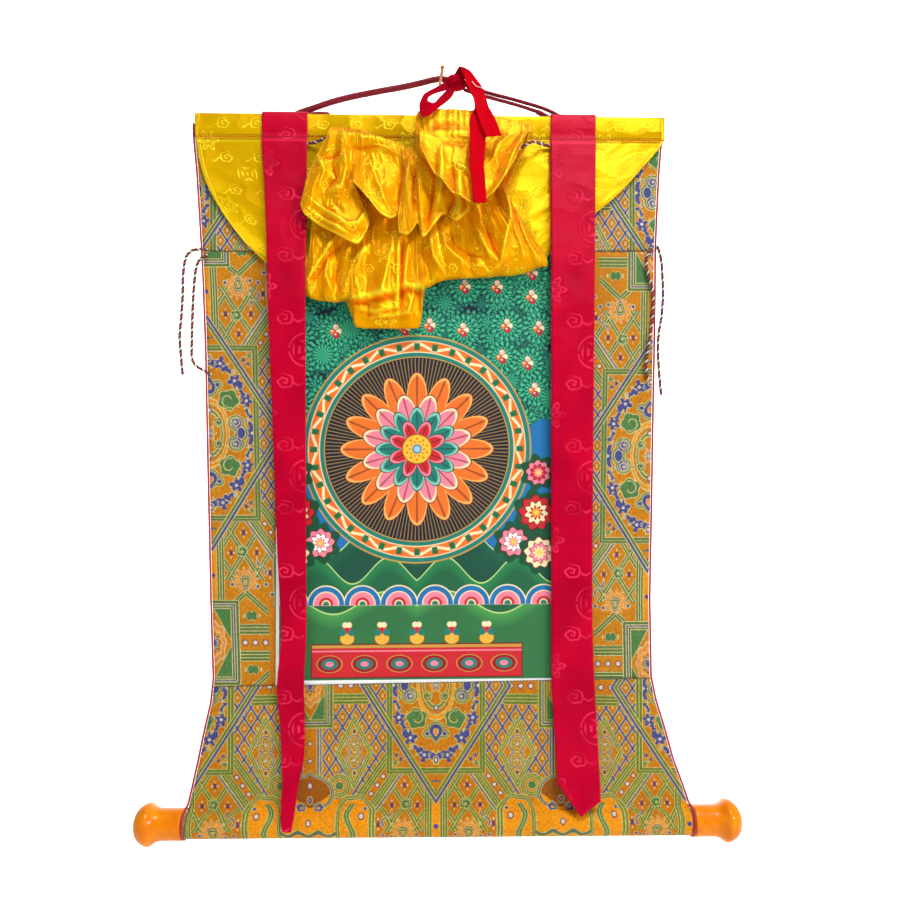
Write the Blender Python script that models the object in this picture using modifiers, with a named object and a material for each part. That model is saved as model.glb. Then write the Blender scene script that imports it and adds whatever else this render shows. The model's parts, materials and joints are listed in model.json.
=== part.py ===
"""Thangka scroll painting, hung by its cord over a nail in the wall.

World axes: +Z is up, -Y is out of the wall towards the viewer, and Y = 0 is the wall's plane. The origin is
the point where the nail meets the wall. Tables and sizes are in millimetres, and `grid_sheet`, `tube` and
the others turn them into metres as they make each piece.

From the wall outwards: hanging cord, brocade pocket with its batten, brocade mount and picture, yellow silk
cover gathered up over its string, and two crimson ribbons. The rod and its knobs hang at the foot.
"""

import math

import bmesh
import bpy
import numpy as np
from mathutils import Matrix, Vector

MM = 0.001
COLLECTION = "thangka_scroll"
HELPERS = "joined_pieces"

# Cloth thicknesses
BROCADE = 1.4
PICTURE = 1.0
SILK = 1.0
RIBBON = 1.0
BOW_RIBBON = 1.2
GAP = 0.35

# Heading: the pocket that holds the batten
HEADING_TOP = -37.6
STITCH_Z = -59.3
POCKET_BACK_Y = -8.0
POCKET_FRONT_Y = -14.9
BATTEN_HEIGHT = 11.6
BATTEN_DEPTH = 4.2
BATTEN_DROP = 2.6

# Foot: the turned rod and the sleeve round it
ROD_Y = -21.5
ROD_Z = -740.0
ROD_RADIUS = 12.4
ROD_HALF = 251.6
SLEEVE_RADIUS = ROD_RADIUS + GAP + 0.2 + BROCADE / 2
PINCH_Z = ROD_Z + SLEEVE_RADIUS + 2.0
PINCH_HALF = 1.1

# Knob: distance along the rod from its middle, and radius there
KNOB_PROFILE = (
    (252.0, 0.0),
    (252.0, 15.2),
    (252.5, 15.5),
    (271.0, 15.4),
    (275.5, 15.9),
    (279.5, 17.6),
    (283.0, 20.2),
    (285.2, 20.9),
    (287.6, 20.5),
    (291.5, 18.6),
    (295.4, 15.2),
    (298.2, 10.6),
    (299.6, 5.4),
    (300.0, 0.0),
)

# Outline of the hung cloth with its piping: height, left edge, right edge
EDGE = (
    (-36.0, -246.0, 227.0),
    (-60.0, -246.0, 224.5),
    (-90.0, -243.0, 222.0),
    (-136.0, -240.0, 219.5),
    (-171.0, -237.8, 218.0),
    (-209.0, -235.8, 217.6),
    (-282.0, -233.0, 216.2),
    (-400.0, -230.2, 213.6),
    (-520.0, -227.0, 211.0),
    (-596.0, -224.4, 212.0),
    (-620.0, -226.8, 217.0),
    (-650.0, -233.6, 226.0),
    (-678.0, -239.2, 233.6),
    (-705.0, -245.0, 243.6),
    (-724.0, -249.6, 250.0),
    (-757.0, -251.4, 251.4),
)
PIPING_RADIUS = 1.1
EDGE_INSET = 2 * PIPING_RADIUS + GAP
PIPING_INSET = 1.4
RING_X = 250.3
RING_RADIUS = ROD_RADIUS + PIPING_RADIUS + 1.0

# Seams: height at x = -225 and at x = 215
UPPER_SEAM = (-173.0, -170.0)
LOWER_SEAM = (-605.0, -598.0)
SEAM_SPAN = (-225.0, 215.0)
PICTURE_LEFT = -162.0
PICTURE_RIGHT = 117.0

# Crimson ribbons: height, left edge, right edge and depth of the face that shows. Where that is narrower
# than the ribbon, the rest is folded behind its left edge.
RIBBON_WIDTH = 45.0
RIBBON_TURN = 1.3
RIBBON_COLUMNS = 9
RIBBON_STEP = 30.0
LEFT_RIBBON = (
    (-34.0, -176.0, -131.0, -11.0),
    (-34.6, -176.0, -131.0, -16.9),
    (-36.9, -176.0, -131.0, -18.8),
    (-52.0, -175.6, -131.0, -18.8),
    (-59.3, -175.2, -131.0, -18.6),
    (-63.0, -175.0, -131.0, -21.6),
    (-70.0, -174.6, -131.0, -22.0),
    (-110.0, -171.6, -131.0, -22.6),
    (-160.0, -169.0, -131.2, -26.4),
    (-220.0, -167.0, -131.4, -29.4),
    (-300.0, -164.2, -131.4, -27.8),
    (-460.0, -158.6, -131.2, -26.8),
    (-556.0, -154.4, -131.0, -27.4),
    (-606.0, -158.2, -133.0, -27.8),
    (-640.0, -155.0, -131.8, -28.8),
    (-676.0, -153.2, -133.0, -30.0),
    (-700.0, -152.4, -137.8, -32.0),
    (-716.0, -152.6, -139.6, -36.0),
    (-730.0, -152.0, -141.2, -40.6),
    (-741.0, -150.6, -143.0, -42.4),
)
RIGHT_RIBBON = (
    (-34.0, 110.6, 156.0, -11.0),
    (-34.6, 110.6, 156.0, -16.9),
    (-36.9, 110.6, 156.0, -18.8),
    (-52.0, 110.8, 155.8, -18.8),
    (-59.3, 111.0, 155.6, -18.6),
    (-63.0, 111.2, 155.4, -21.6),
    (-70.0, 111.3, 155.3, -22.0),
    (-110.0, 111.6, 154.6, -23.6),
    (-220.0, 112.0, 153.6, -24.8),
    (-400.0, 112.0, 152.0, -25.0),
    (-540.0, 112.0, 151.2, -26.4),
    (-600.0, 112.2, 153.0, -27.0),
    (-638.0, 114.0, 155.0, -27.8),
    (-672.0, 116.0, 156.6, -28.8),
    (-690.0, 117.0, 157.6, -29.8),
)
# The right ribbon's pointed end: share of its width, drop below its last row, depth
RIGHT_RIBBON_END = ((0.0, 11.0, -31.2), (0.5, 40.0, -38.8), (1.0, 26.0, -34.6))

# Silk cover: one row for each fold, from the left side edge to the right one.
# head: x at the heading. foot: x and height of the bottom fold. lip: height and depth of its front edge.
# waist: x halfway up. crest: x and height where it goes over the string.
# mid and hem: x, height and depth of the fall in front, halfway down and at its hem.
COVER_COLUMNS = (
    "head", "foot_x", "foot_z", "lip_z", "lip_y", "waist_x", "crest_x", "crest_z",
    "mid_x", "mid_z", "mid_y", "hem_x", "hem_z", "hem_y",
)
COVER = (
    (-242.6, -133, -217, -217, -24, -122, -106, -55, -128, -100, -29, -136, -133, -32),
    (-228, -127, -221, -221, -27, -116, -102, -55, -119, -104, -34, -132, -144, -37),
    (-212, -119, -223, -223, -26, -110, -98, -55, -109, -105, -31, -118, -154, -33),
    (-196, -111, -224, -224, -30, -103, -94, -55, -99, -107, -36, -100, -165, -39),
    (-178, -103, -225, -225, -27, -96, -90, -56, -91, -109, -33, -79, -175, -37),
    (-160, -95, -224, -224, -31, -90, -86, -56, -84, -106, -31, -67, -151, -33),
    (-146, -88, -223, -223, -28, -84, -82, -57, -83, -88, -31, -86, -112, -42),
    (-132, -84, -250, -249, -31, -79, -77, -58, -76, -88, -31, -71, -129, -44),
    (-118, -72, -251, -250, -28, -71, -70, -60, -65, -89, -31, -57, -147, -45),
    (-104, -58, -251, -250, -31, -60, -61, -63, -53, -91, -32, -48, -151, -44),
    (-90, -44, -251, -250, -28, -50, -52, -66, -44, -94, -33, -42, -147, -41),
    (-76, -30, -251, -250, -31, -41, -44, -69, -38, -100, -34, -41, -133, -36),
    (-62, -19, -250, -249, -28, -34, -38, -71, -36, -112, -34, -40, -163, -36),
    (-46, -15, -211, -212, -32, -28, -34, -73, -29, -114, -37, -29, -164, -39),
    (-30, -10, -209, -210, -28, -22, -31, -74, -24, -118, -33, -21, -150, -35),
    (-14, -3, -206, -205, -32, -15, -28, -75, -20, -120, -35, -16, -169, -38),
    (2, 6, -202, -202, -28, -8, -27, -76, -15, -112, -33, 4, -140, -34),
    (16, 14, -202, -202, -31, 0, -26, -77, -9, -108, -36, 16, -152, -37),
    (30, 23, -201, -201, -33, 7, -25, -77, 0, -104, -35, 32, -137, -38),
    (46, 32, -200, -201, -29, 15, -24, -56, -10, -84, -40, 8, -112, -44),
    (64, 41, -200, -201, -33, 23, -22, -38, -22, -58, -38, -21, -80, -48),
    (84, 51, -201, -199, -34, 30, -6, -36, -8, -70, -41, -8, -106, -50),
    (104, 60, -201, -190, -36, 38, 14, -36, 9, -82, -43, 12, -128, -51),
    (126, 71, -201, -182, -36, 46, 34, -37, 28, -88, -43, 36, -142, -51),
    (150, 82, -199, -181, -36, 54, 54, -42, 48, -82, -42, 54, -126, -49),
    (180, 92, -195, -182, -33, 61, 74, -47, 66, -74, -38, 68, -102, -44),
    (225.6, 106, -189, -188, -29, 69, 91, -52, 86, -62, -33, 80, -75, -35),
)
COVER_SUBDIVISIONS = 2
# How far a side edge has moved towards its foot at each share of its drop: share, left edge, right edge
COVER_SWEEP = ((0.24, 0.07, 0.21), (0.43, 0.20, 0.40), (0.67, 0.45, 0.71), (0.9, 0.82, 0.98))
COVER_BACK_Y = -21.0
STITCH_DIP = 1.0
WAIST_Z = -118.0
WAIST_BACK_Y = -25.6
WAIST_FRONT_Y = -27.4
STRING_BACK_Y = -24.3
STRING_FRONT_Y = -30.2
# Rows of the grid between one control line of a fold and the next, from the heading to the hem
COVER_STEPS = (1, 1, 1, 1, 1, 1, 2, 2, 2, 1, 1, 2, 2, 2, 2, 2, 2, 3)

# Cord routes: points in millimetres
HANGING_CORD_DIAMETER = 6.0
HANGING_CORD = (
    (-158, -3.9, -46), (-153, -3.9, -37), (-143, -3.8, -29.5), (-128, -3.7, -24.0), (-110, -3.7, -17.6),
    (-92, -3.7, -12.6), (-74, -3.7, -8.6), (-56, -3.7, -5.0), (-38, -3.7, -1.6), (-20, -3.7, 2.6),
    (-9, -3.7, 5.5), (-2.6, -3.8, 6.7), (2.4, -4.2, 6.7), (6.8, -5.6, 5.4),
)
DOUBLED_CORD_DIAMETER = 3.6
DOUBLED_CORD_UPPER = (
    (27.4, -9.6, -2.0), (36, -7.4, -4.0), (44, -5.0, -5.6), (58, -3.7, -8.6), (72, -3.7, -12.0),
    (86, -3.7, -15.8), (100, -3.7, -19.8), (112, -4.0, -24.4), (124, -4.6, -31.4), (132, -5.1, -42),
)
DOUBLED_CORD_LOWER = (
    (25.6, -9.6, -7.0), (35, -7.4, -8.8), (44, -5.0, -10.0), (58, -3.7, -13.0), (72, -3.7, -16.6),
    (86, -3.7, -20.6), (97.4, -3.7, -24.4),
)
CORD_END_DIAMETER = 5.0
CORD_END_LEFT = (
    (-144, -4.4, -44), (-139, -4.4, -36.6), (-131, -4.3, -31.8), (-122, -4.2, -30.0), (-113, -4.2, -30.4),
)
CORD_END_RIGHT = ((99.6, -4.2, -25.6), (105, -4.3, -28.4), (112, -4.4, -33.0), (118, -4.4, -43))

GATHER_STRING_DIAMETER = 3.2
GATHER_STRING = (
    (-148, -18.5, -66.4), (-138, -18.5, -66.6), (-129.4, -18.6, -66.6), (-122, -20.4, -66.0),
    (-115, -24, -65.2), (-108, -27, -65.0), (-88, -27, -66), (-70, -27, -70), (-50, -27, -77),
    (-30, -27, -84), (-8, -27, -87), (20, -27, -87), (46, -27, -84), (66, -27, -79.4), (80, -27, -73),
    (91, -26.2, -67), (97, -22, -65.4), (102, -19.8, -65.8), (108.4, -18.6, -66.6), (122, -18.5, -66.4),
)
SIDE_TIE_DIAMETER = 3.2
# Each hanging side tie: x and height along its route. Its depth follows the cloth behind it.
SIDE_TIES = {
    "side_tie_left_a": (
        (-231, -172.6), (-239, -172.2), (-246, -174), (-251.4, -181), (-254, -198),
        (-254.2, -216), (-255.4, -238), (-257, -259), (-255.6, -279), (-254, -296),
    ),
    "side_tie_left_b": (
        (-231, -178.6), (-237, -181.4), (-240.6, -189), (-242.6, -202), (-244.2, -229),
        (-245, -260), (-244.8, -280), (-240.6, -288), (-234, -292), (-226.6, -296.6),
    ),
    "side_tie_right_a": (
        (212.0, -168.4), (208.4, -174), (207.2, -185), (209, -195), (212.4, -207),
        (213.8, -220), (212.6, -242), (209, -265), (206.4, -285), (208, -299),
    ),
    "side_tie_right_b": (
        (218.2, -166.4), (220.6, -173), (222.4, -184), (223.2, -198), (223.6, -214),
        (222.2, -236), (219.4, -252), (218.4, -268), (219.2, -290), (221.2, -314),
    ),
}

# Red bow: a knot, one loop and two tails, all of one ribbon
KNOT_CENTRE = (15.6, -10.6, -0.8)
KNOT_SIZE = (11.0, 8.4, 8.8)
KNOT_LUMP = 0.06
# Loop: outer x and height, inner x and height, and depth, along it
TIE_LOOP = (
    (6.8, -0.8, 10.4, -8.2, -14.0), (0.4, -6.4, 4.0, -12.4, -17.0), (-6.4, -12.4, -3.6, -16.8, -21.0),
    (-15.0, -20.2, -10.0, -22.8, -26.0), (-19.0, -30.0, -11.6, -28.0, -30.5), (-20.0, -39.0, -11.2, -32.0, -34.4),
    (-16.8, -48.0, -8.8, -34.4, -36.6), (-9.6, -46.4, -6.8, -34.4, -36.0), (-3.2, -39.4, -4.4, -32.0, -33.0),
    (4.2, -31.2, -1.2, -25.6, -28.0), (11.2, -21.6, 2.8, -18.0, -21.4), (15.4, -11.2, 8.4, -8.8, -15.0),
)
# Tails: left x and height, right x and height, and depth, down each one
TIE_TAIL_SHORT = (
    (12.4, 3.2, 24.4, -2.6, -12.5), (15.4, 7.4, 25.4, 2.4, -14.0), (18.6, 11.8, 24.8, 8.4, -15.5),
    (19.6, 12.2, 24.8, 10.8, -17.5), (21.8, 6.8, 27.2, 8.4, -19.5), (24.0, 1.6, 30.8, 5.0, -21.5),
    (25.8, -6.8, 36.4, -4.0, -24.0), (29.4, -18.0, 42.2, -15.0, -28.4), (32.8, -31.6, 44.8, -29.6, -38.0),
    (33.2, -47.8, 46.6, -46.6, -52.4), (35.0, -53.6, 49.6, -52.8, -53.8), (38.6, -64.8, 54.4, -64.0, -55.2),
    (43.6, -77.6, 58.8, -76.0, -56.4),
)
TIE_TAIL_LONG = (
    (23.4, -3.6, 30.4, -1.4, -14.0), (29.6, -13.8, 39.2, -10.8, -20.0), (34.0, -26.0, 45.6, -24.0, -28.0),
    (33.4, -44.8, 45.2, -43.6, -48.6), (30.4, -53.2, 44.4, -52.4, -51.6), (28.0, -59.2, 43.6, -59.2, -52.8),
    (28.6, -70.2, 44.0, -70.4, -53.6), (28.4, -86.4, 43.2, -86.4, -54.8), (28.0, -104.2, 42.0, -104.0, -55.6),
    (30.0, -121.6, 43.2, -121.6, -56.2), (31.6, -140.0, 44.4, -139.8, -56.6),
)

# Nail: radius and distance along the shank, from its tip to the wall
NAIL_TILT = math.radians(16.0)
NAIL_LEAN = math.radians(6.5)
NAIL_PROFILE = ((0.0, 26.5), (1.6, 26.3), (2.1, 25.8), (2.0, 25.0), (1.6, 24.6), (1.6, 0.2), (0.0, 0.2))


def clear_scene():
    """Empty the file, so that only this object is in it."""
    for obj in list(bpy.data.objects):
        bpy.data.objects.remove(obj, do_unlink=True)


def material(name, colour, roughness, metallic=0.0):
    made = bpy.data.materials.new(name)
    made.use_nodes = True
    shader = made.node_tree.nodes["Principled BSDF"]
    shader.inputs["Base Color"].default_value = (*colour, 1.0)
    shader.inputs["Roughness"].default_value = roughness
    shader.inputs["Metallic"].default_value = metallic
    return made


def place(name, data, finish):
    """Link a new object of this name and finish to the scroll's collection."""
    data.materials.append(finish)
    obj = bpy.data.objects.new(name, data)
    bpy.data.collections[COLLECTION].objects.link(obj)
    return obj


def smooth_route(points, count):
    """`count` points, evenly spaced, on the smooth curve through a route's own points (Catmull-Rom)."""
    knots = np.array(points, float)
    padded = np.vstack([2 * knots[0] - knots[1], knots, 2 * knots[-1] - knots[-2]])
    t = np.linspace(0, 1, 12, endpoint=False)[:, None]
    pieces = []
    for a, b, c, d in zip(padded, padded[1:], padded[2:], padded[3:]):
        pieces.append(
            0.5 * (2 * b + (c - a) * t + (2 * a - 5 * b + 4 * c - d) * t**2 + (3 * b - a - 3 * c + d) * t**3)
        )
    dense = np.vstack(pieces + [knots[-1:]])
    length = np.append(0, np.cumsum(np.linalg.norm(np.diff(dense, axis=0), axis=1)))
    wanted = np.linspace(0, length[-1], count)
    return np.column_stack([np.interp(wanted, length, dense[:, i]) for i in range(dense.shape[1])])


def tube(name, points, diameter, finish, spacing=2.5, resolution=2, even=True):
    """A round cord or piping along a route, as a poly curve with filled caps.

    An even one has a point every `spacing` diameters; another keeps its route's own points.
    """
    route = np.array(points, float)
    if even:
        length = np.linalg.norm(np.diff(route, axis=0), axis=1).sum()
        route = smooth_route(points, max(6, int(length / (spacing * diameter)) + 1))
    curve = bpy.data.curves.new(name, "CURVE")
    curve.dimensions = "3D"
    curve.bevel_depth = diameter / 2 * MM
    curve.bevel_resolution = resolution
    curve.use_fill_caps = True
    spline = curve.splines.new("POLY")
    spline.points.add(len(route) - 1)
    for point, place_mm in zip(spline.points, route):
        point.co = (*(place_mm * MM), 1.0)
    return place(name, curve, finish)


def grid_sheet(name, grid, thickness, finish):
    """A cloth: a grid shaped to the rows and columns of `grid`, with Solidify for its thickness.

    The rows run down the cloth and the columns to the right, seen from the front.
    """
    rows, columns, _ = grid.shape
    mesh = bpy.data.meshes.new(name)
    shaped = bmesh.new()
    bmesh.ops.create_grid(shaped, x_segments=columns - 1, y_segments=rows - 1, size=1.0)
    # The grid's vertices run along x, then up y, so its rows are taken from the foot upwards.
    for vertex, place_mm in zip(shaped.verts, grid[::-1].reshape(-1, 3)):
        vertex.co = Vector(place_mm * MM)
    shaped.to_mesh(mesh)
    shaped.free()
    mesh.shade_smooth()
    obj = place(name, mesh, finish)
    shell = obj.modifiers.new("thickness", "SOLIDIFY")
    shell.thickness = thickness * MM
    shell.offset = 0.0
    shell.use_rim = True
    return obj


def turned(name, profile, finish, steps=32):
    """A turned piece about its own Z axis: the profile gives radius and height, from the top down."""
    mesh = bpy.data.meshes.new(name)
    points = [(radius * MM, 0.0, height * MM) for radius, height in profile]
    mesh.from_pydata(points, [(i, i + 1) for i in range(len(points) - 1)], [])
    obj = place(name, mesh, finish)
    screw = obj.modifiers.new("turned", "SCREW")
    screw.steps = screw.render_steps = steps
    screw.use_merge_vertices = True
    screw.merge_threshold = 0.00001
    screw.use_smooth_shade = True
    return obj


def edge_x(z):
    """The outline's left and right edge at this height."""
    table = np.array(EDGE)[::-1]
    return np.interp(z, table[:, 0], table[:, 1]), np.interp(z, table[:, 0], table[:, 2])


def hang_y(z):
    """Depth of the brocade's middle surface: a straight fall from the heading's stitching to the rod's."""
    return np.interp(z, [PINCH_Z, STITCH_Z], [ROD_Y - 1.1, POCKET_FRONT_Y + 2.0])


def seam_z(x, seam):
    """Height of a slanting seam at this x."""
    return np.interp(x, SEAM_SPAN, seam)


def panel_grid(left, right, top, bottom, rows, columns):
    """A hung panel as rows and columns, between two side edges and two seams, on the brocade's fall.

    left and right give x at a height; top and bottom are seams, as their heights at SEAM_SPAN.
    """
    share = np.linspace(0, 1, rows)
    ends = []
    for edge in (left, right):
        x = edge(np.mean([top, bottom]))
        for _ in range(3):
            z = seam_z(x, top) * (1 - share) + seam_z(x, bottom) * share
            x = edge(z)
        ends.append(np.stack([x, hang_y(z), z], axis=-1))
    across = np.linspace(0, 1, columns)[None, :, None]
    return ends[0][:, None] * (1 - across) + ends[1][:, None] * across


def section_grid(section, columns):
    """The brocade's rows along a section of depth and height, from one side edge to the other."""
    section = np.array(section)
    across = np.linspace(0, 1, columns)
    x = left_edge(section[:, 1])[:, None] * (1 - across) + right_edge(section[:, 1])[:, None] * across
    return np.stack([x, *(np.repeat(section[:, i, None], columns, 1) for i in (0, 1))], axis=-1)


def left_edge(z):
    return edge_x(z)[0] + EDGE_INSET


def right_edge(z):
    return edge_x(z)[1] - EDGE_INSET


def picture_left(z):
    return np.full(np.shape(z), PICTURE_LEFT)


def picture_right(z):
    return np.full(np.shape(z), PICTURE_RIGHT)


def lowered(seam, by):
    return (seam[0] - by, seam[1] - by)


def pocket_section():
    """Depth and height down the top brocade: up its back hem, over the batten, and down to its stitching."""
    back, front, top = POCKET_BACK_Y, POCKET_FRONT_Y, HEADING_TOP
    return [
        (back - 2.0, STITCH_Z - 4.0), (back - 1.9, STITCH_Z), (back, STITCH_Z + 5.5), (back, top - 3.4),
        (back - 0.8, top - 1.0), (back - 2.6, top), (front + 2.6, top), (front + 0.8, top - 1.0),
        (front, top - 3.4), (front, STITCH_Z + 5.5),
    ]


def sleeve_section():
    """Depth and height round the rod: from the stitching in front, round the rod, and up behind it."""
    angles = np.radians(np.linspace(104, 436, 19))
    ring = [(ROD_Y + SLEEVE_RADIUS * math.cos(a), ROD_Z + SLEEVE_RADIUS * math.sin(a)) for a in angles]
    return ring + [(ROD_Y + PINCH_HALF, PINCH_Z), (ROD_Y + PINCH_HALF + 0.4, PINCH_Z + 8.0)]


def make_brocades(finish):
    """The brocade mount: the top panel with its pocket, two side panels and the bottom one with its sleeve.

    Gives back the rows of the four panels, so that the piping can follow their edges.
    """
    stitching = (STITCH_Z, STITCH_Z)
    fall = panel_grid(left_edge, right_edge, stitching, lowered(UPPER_SEAM, -GAP), 7, 12)
    top = np.concatenate([section_grid(pocket_section(), 12), fall])
    grid_sheet("brocade_top", top, BROCADE, finish)
    above, below = lowered(UPPER_SEAM, GAP), lowered(LOWER_SEAM, -GAP)
    left = panel_grid(left_edge, lambda z: picture_left(z) - GAP, above, below, 15, 4)
    right = panel_grid(lambda z: picture_right(z) + GAP, right_edge, above, below, 15, 4)
    grid_sheet("brocade_left", left, BROCADE, finish)
    grid_sheet("brocade_right", right, BROCADE, finish)
    fall = panel_grid(left_edge, right_edge, lowered(LOWER_SEAM, GAP), (PINCH_Z, PINCH_Z), 9, 12)
    bottom = np.concatenate([fall, section_grid(sleeve_section(), 12)])
    grid_sheet("brocade_bottom", bottom, BROCADE, finish)
    return top, left, right, bottom


def make_picture(finish):
    """The printed cloth in the window of the mount."""
    grid = panel_grid(
        lambda z: picture_left(z) + GAP, lambda z: picture_right(z) - GAP,
        lowered(UPPER_SEAM, GAP), lowered(LOWER_SEAM, -GAP), 9, 6,
    )
    grid_sheet("picture_panel", grid, PICTURE, finish)


def make_batten(finish):
    """The flat stick in the pocket, a little shorter than the cloth's width."""
    left, right = left_edge(HEADING_TOP), right_edge(HEADING_TOP)
    middle = Vector((
        (left + right) / 2,
        (POCKET_BACK_Y + POCKET_FRONT_Y) / 2,
        HEADING_TOP - BATTEN_DROP - BATTEN_HEIGHT / 2,
    ))
    box = bmesh.new()
    size = (right - left - 3.0, BATTEN_DEPTH, BATTEN_HEIGHT)
    bmesh.ops.create_cube(box, size=1.0, matrix=Matrix.Diagonal((*(s * MM for s in size), 1.0)))
    mesh = bpy.data.meshes.new("top_batten")
    box.to_mesh(mesh)
    box.free()
    obj = place("top_batten", mesh, finish)
    obj.location = middle * MM
    rounded = obj.modifiers.new("rounded", "BEVEL")
    rounded.width = 0.6 * MM
    rounded.segments = 1


def make_piping(panels, finish):
    """A red corded edge down each side of the cloth and round the sleeve's end, beside the panels' edges."""
    top, left, right, bottom = panels
    pocket_rows, sleeve_rows = len(pocket_section()), len(sleeve_section())
    angles = np.radians(np.linspace(112, 428, 20))
    for name, column, beside, out in (("piping_left", 0, left, -1), ("piping_right", -1, right, 1)):
        edge = np.concatenate([
            top[pocket_rows - 2:, column], beside[1:, column], bottom[1:-sleeve_rows - 1, column],
        ])
        edge[:, 0] += out * (GAP + PIPING_RADIUS)
        edge[:2, 1] += PIPING_INSET
        ring = np.column_stack([
            np.full(len(angles), out * RING_X), ROD_Y + RING_RADIUS * np.cos(angles),
            ROD_Z + RING_RADIUS * np.sin(angles),
        ])
        tube(name, np.concatenate([edge, ring]), 2 * PIPING_RADIUS, finish, resolution=1, even=False)


def ribbon_row(left, right, depth):
    """x and depth across one row: the face that shows, then the rest turned behind its left edge.

    The part behind is never wider than the face, because the ribbon's end is cut to a point.
    """
    face = min(right - left, RIBBON_WIDTH)
    width = min(RIBBON_WIDTH, 2 * face - 1.5)
    half_turn = math.pi * RIBBON_TURN
    even = np.linspace(0, width, RIBBON_COLUMNS)
    shares = np.interp(np.arange(RIBBON_COLUMNS), (0, 3, 6, RIBBON_COLUMNS - 1), (0, 1, 2, 3))
    folded = np.interp(shares, (0, 1, 2, 3), (0, face, face + half_turn, max(width, face + half_turn + 1)))
    blend = min((width - face) / 8.0, 1.0)
    s = even * (1 - blend) + folded * blend
    angle = np.clip((s - face) / RIBBON_TURN, 0, math.pi)
    back = np.clip(s - face - half_turn, 0, None)
    x = right - np.minimum(s, face) - RIBBON_TURN * np.sin(angle) + back
    y = depth + RIBBON_TURN * (1 - np.cos(angle))
    return x[::-1], y[::-1]


def ribbon_grid(table):
    """The ribbon as rows down its table, each folded behind its left edge as far as it is narrower."""
    table = np.array(table)
    steps = np.maximum(1, np.round(np.abs(np.diff(table[:, 0])) / RIBBON_STEP)).astype(int)
    rows = []
    for z, left, right, depth in fold_curve(table, steps):
        x, y = ribbon_row(left, right, depth)
        rows.append(np.column_stack([x, y, np.full(RIBBON_COLUMNS, z)]))
    return np.array(rows)


def make_ribbons(finish):
    """The two long ribbons that hang over the heading and down the front."""
    grid_sheet("ribbon_left", ribbon_grid(LEFT_RIBBON), RIBBON, finish)
    grid = ribbon_grid(RIGHT_RIBBON)
    last = grid[-1]
    left, right = RIGHT_RIBBON[-1][1:3]
    share, drop, depth = np.array(RIGHT_RIBBON_END).T
    place_across = (last[:, 0] - left) / (right - left)
    drop, depth = (np.interp(place_across, share, values) for values in (drop, depth))
    point = [
        np.column_stack([last[:, 0], last[:, 1] * (1 - t) + depth * t, last[:, 2] - drop * t])
        for t in (0.34, 0.67, 1.0)
    ]
    grid_sheet("ribbon_right", np.concatenate([grid, point]), RIBBON, finish)


def fold_curve(points, steps):
    """A smooth curve through control points, with a set number of rows from each one to the next.

    points has the shape (control, ..., values). The tangents are centred differences over centripetal knots,
    which keeps a short step beside a long one from overshooting.
    """
    spans = np.linalg.norm(np.diff(points, axis=0), axis=-1, keepdims=True) ** 0.5 + 1e-6
    slopes = np.diff(points, axis=0) / spans
    inner = (slopes[:-1] * spans[1:] + slopes[1:] * spans[:-1]) / (spans[:-1] + spans[1:])
    tangents = np.concatenate([slopes[:1], inner, slopes[-1:]])
    rows = []
    for i, count in enumerate(steps):
        start, end = points[i], points[i + 1]
        leaving, arriving = spans[i] * tangents[i], spans[i] * tangents[i + 1]
        for t in np.arange(count) / count:
            blend = t * t * (3 - 2 * t)
            rows.append(
                start * (1 - blend) + end * blend + leaving * t * (1 - t) ** 2 - arriving * t * t * (1 - t)
            )
    return np.array(rows + [points[-1]])


def cover_folds():
    """The cover's table with its rows subdivided and a little softened, as named arrays."""
    table = np.array(COVER, float)
    rows = np.arange(len(table))
    fine = np.linspace(0, len(table) - 1, (len(table) - 1) * COVER_SUBDIVISIONS + 1)
    dense = np.column_stack([np.interp(fine, rows, column) for column in table.T])
    soft = dense.copy()
    soft[1:-1] = 0.2 * dense[:-2] + 0.6 * dense[1:-1] + 0.2 * dense[2:]
    folds = dict(zip(COVER_COLUMNS, soft.T))
    folds["share"] = fine / fine[-1]
    pleat = 0.5 - 0.5 * np.cos(math.pi * fine)
    folds["waist_y"] = WAIST_BACK_Y * (1 - pleat) + WAIST_FRONT_Y * pleat
    return folds


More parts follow.
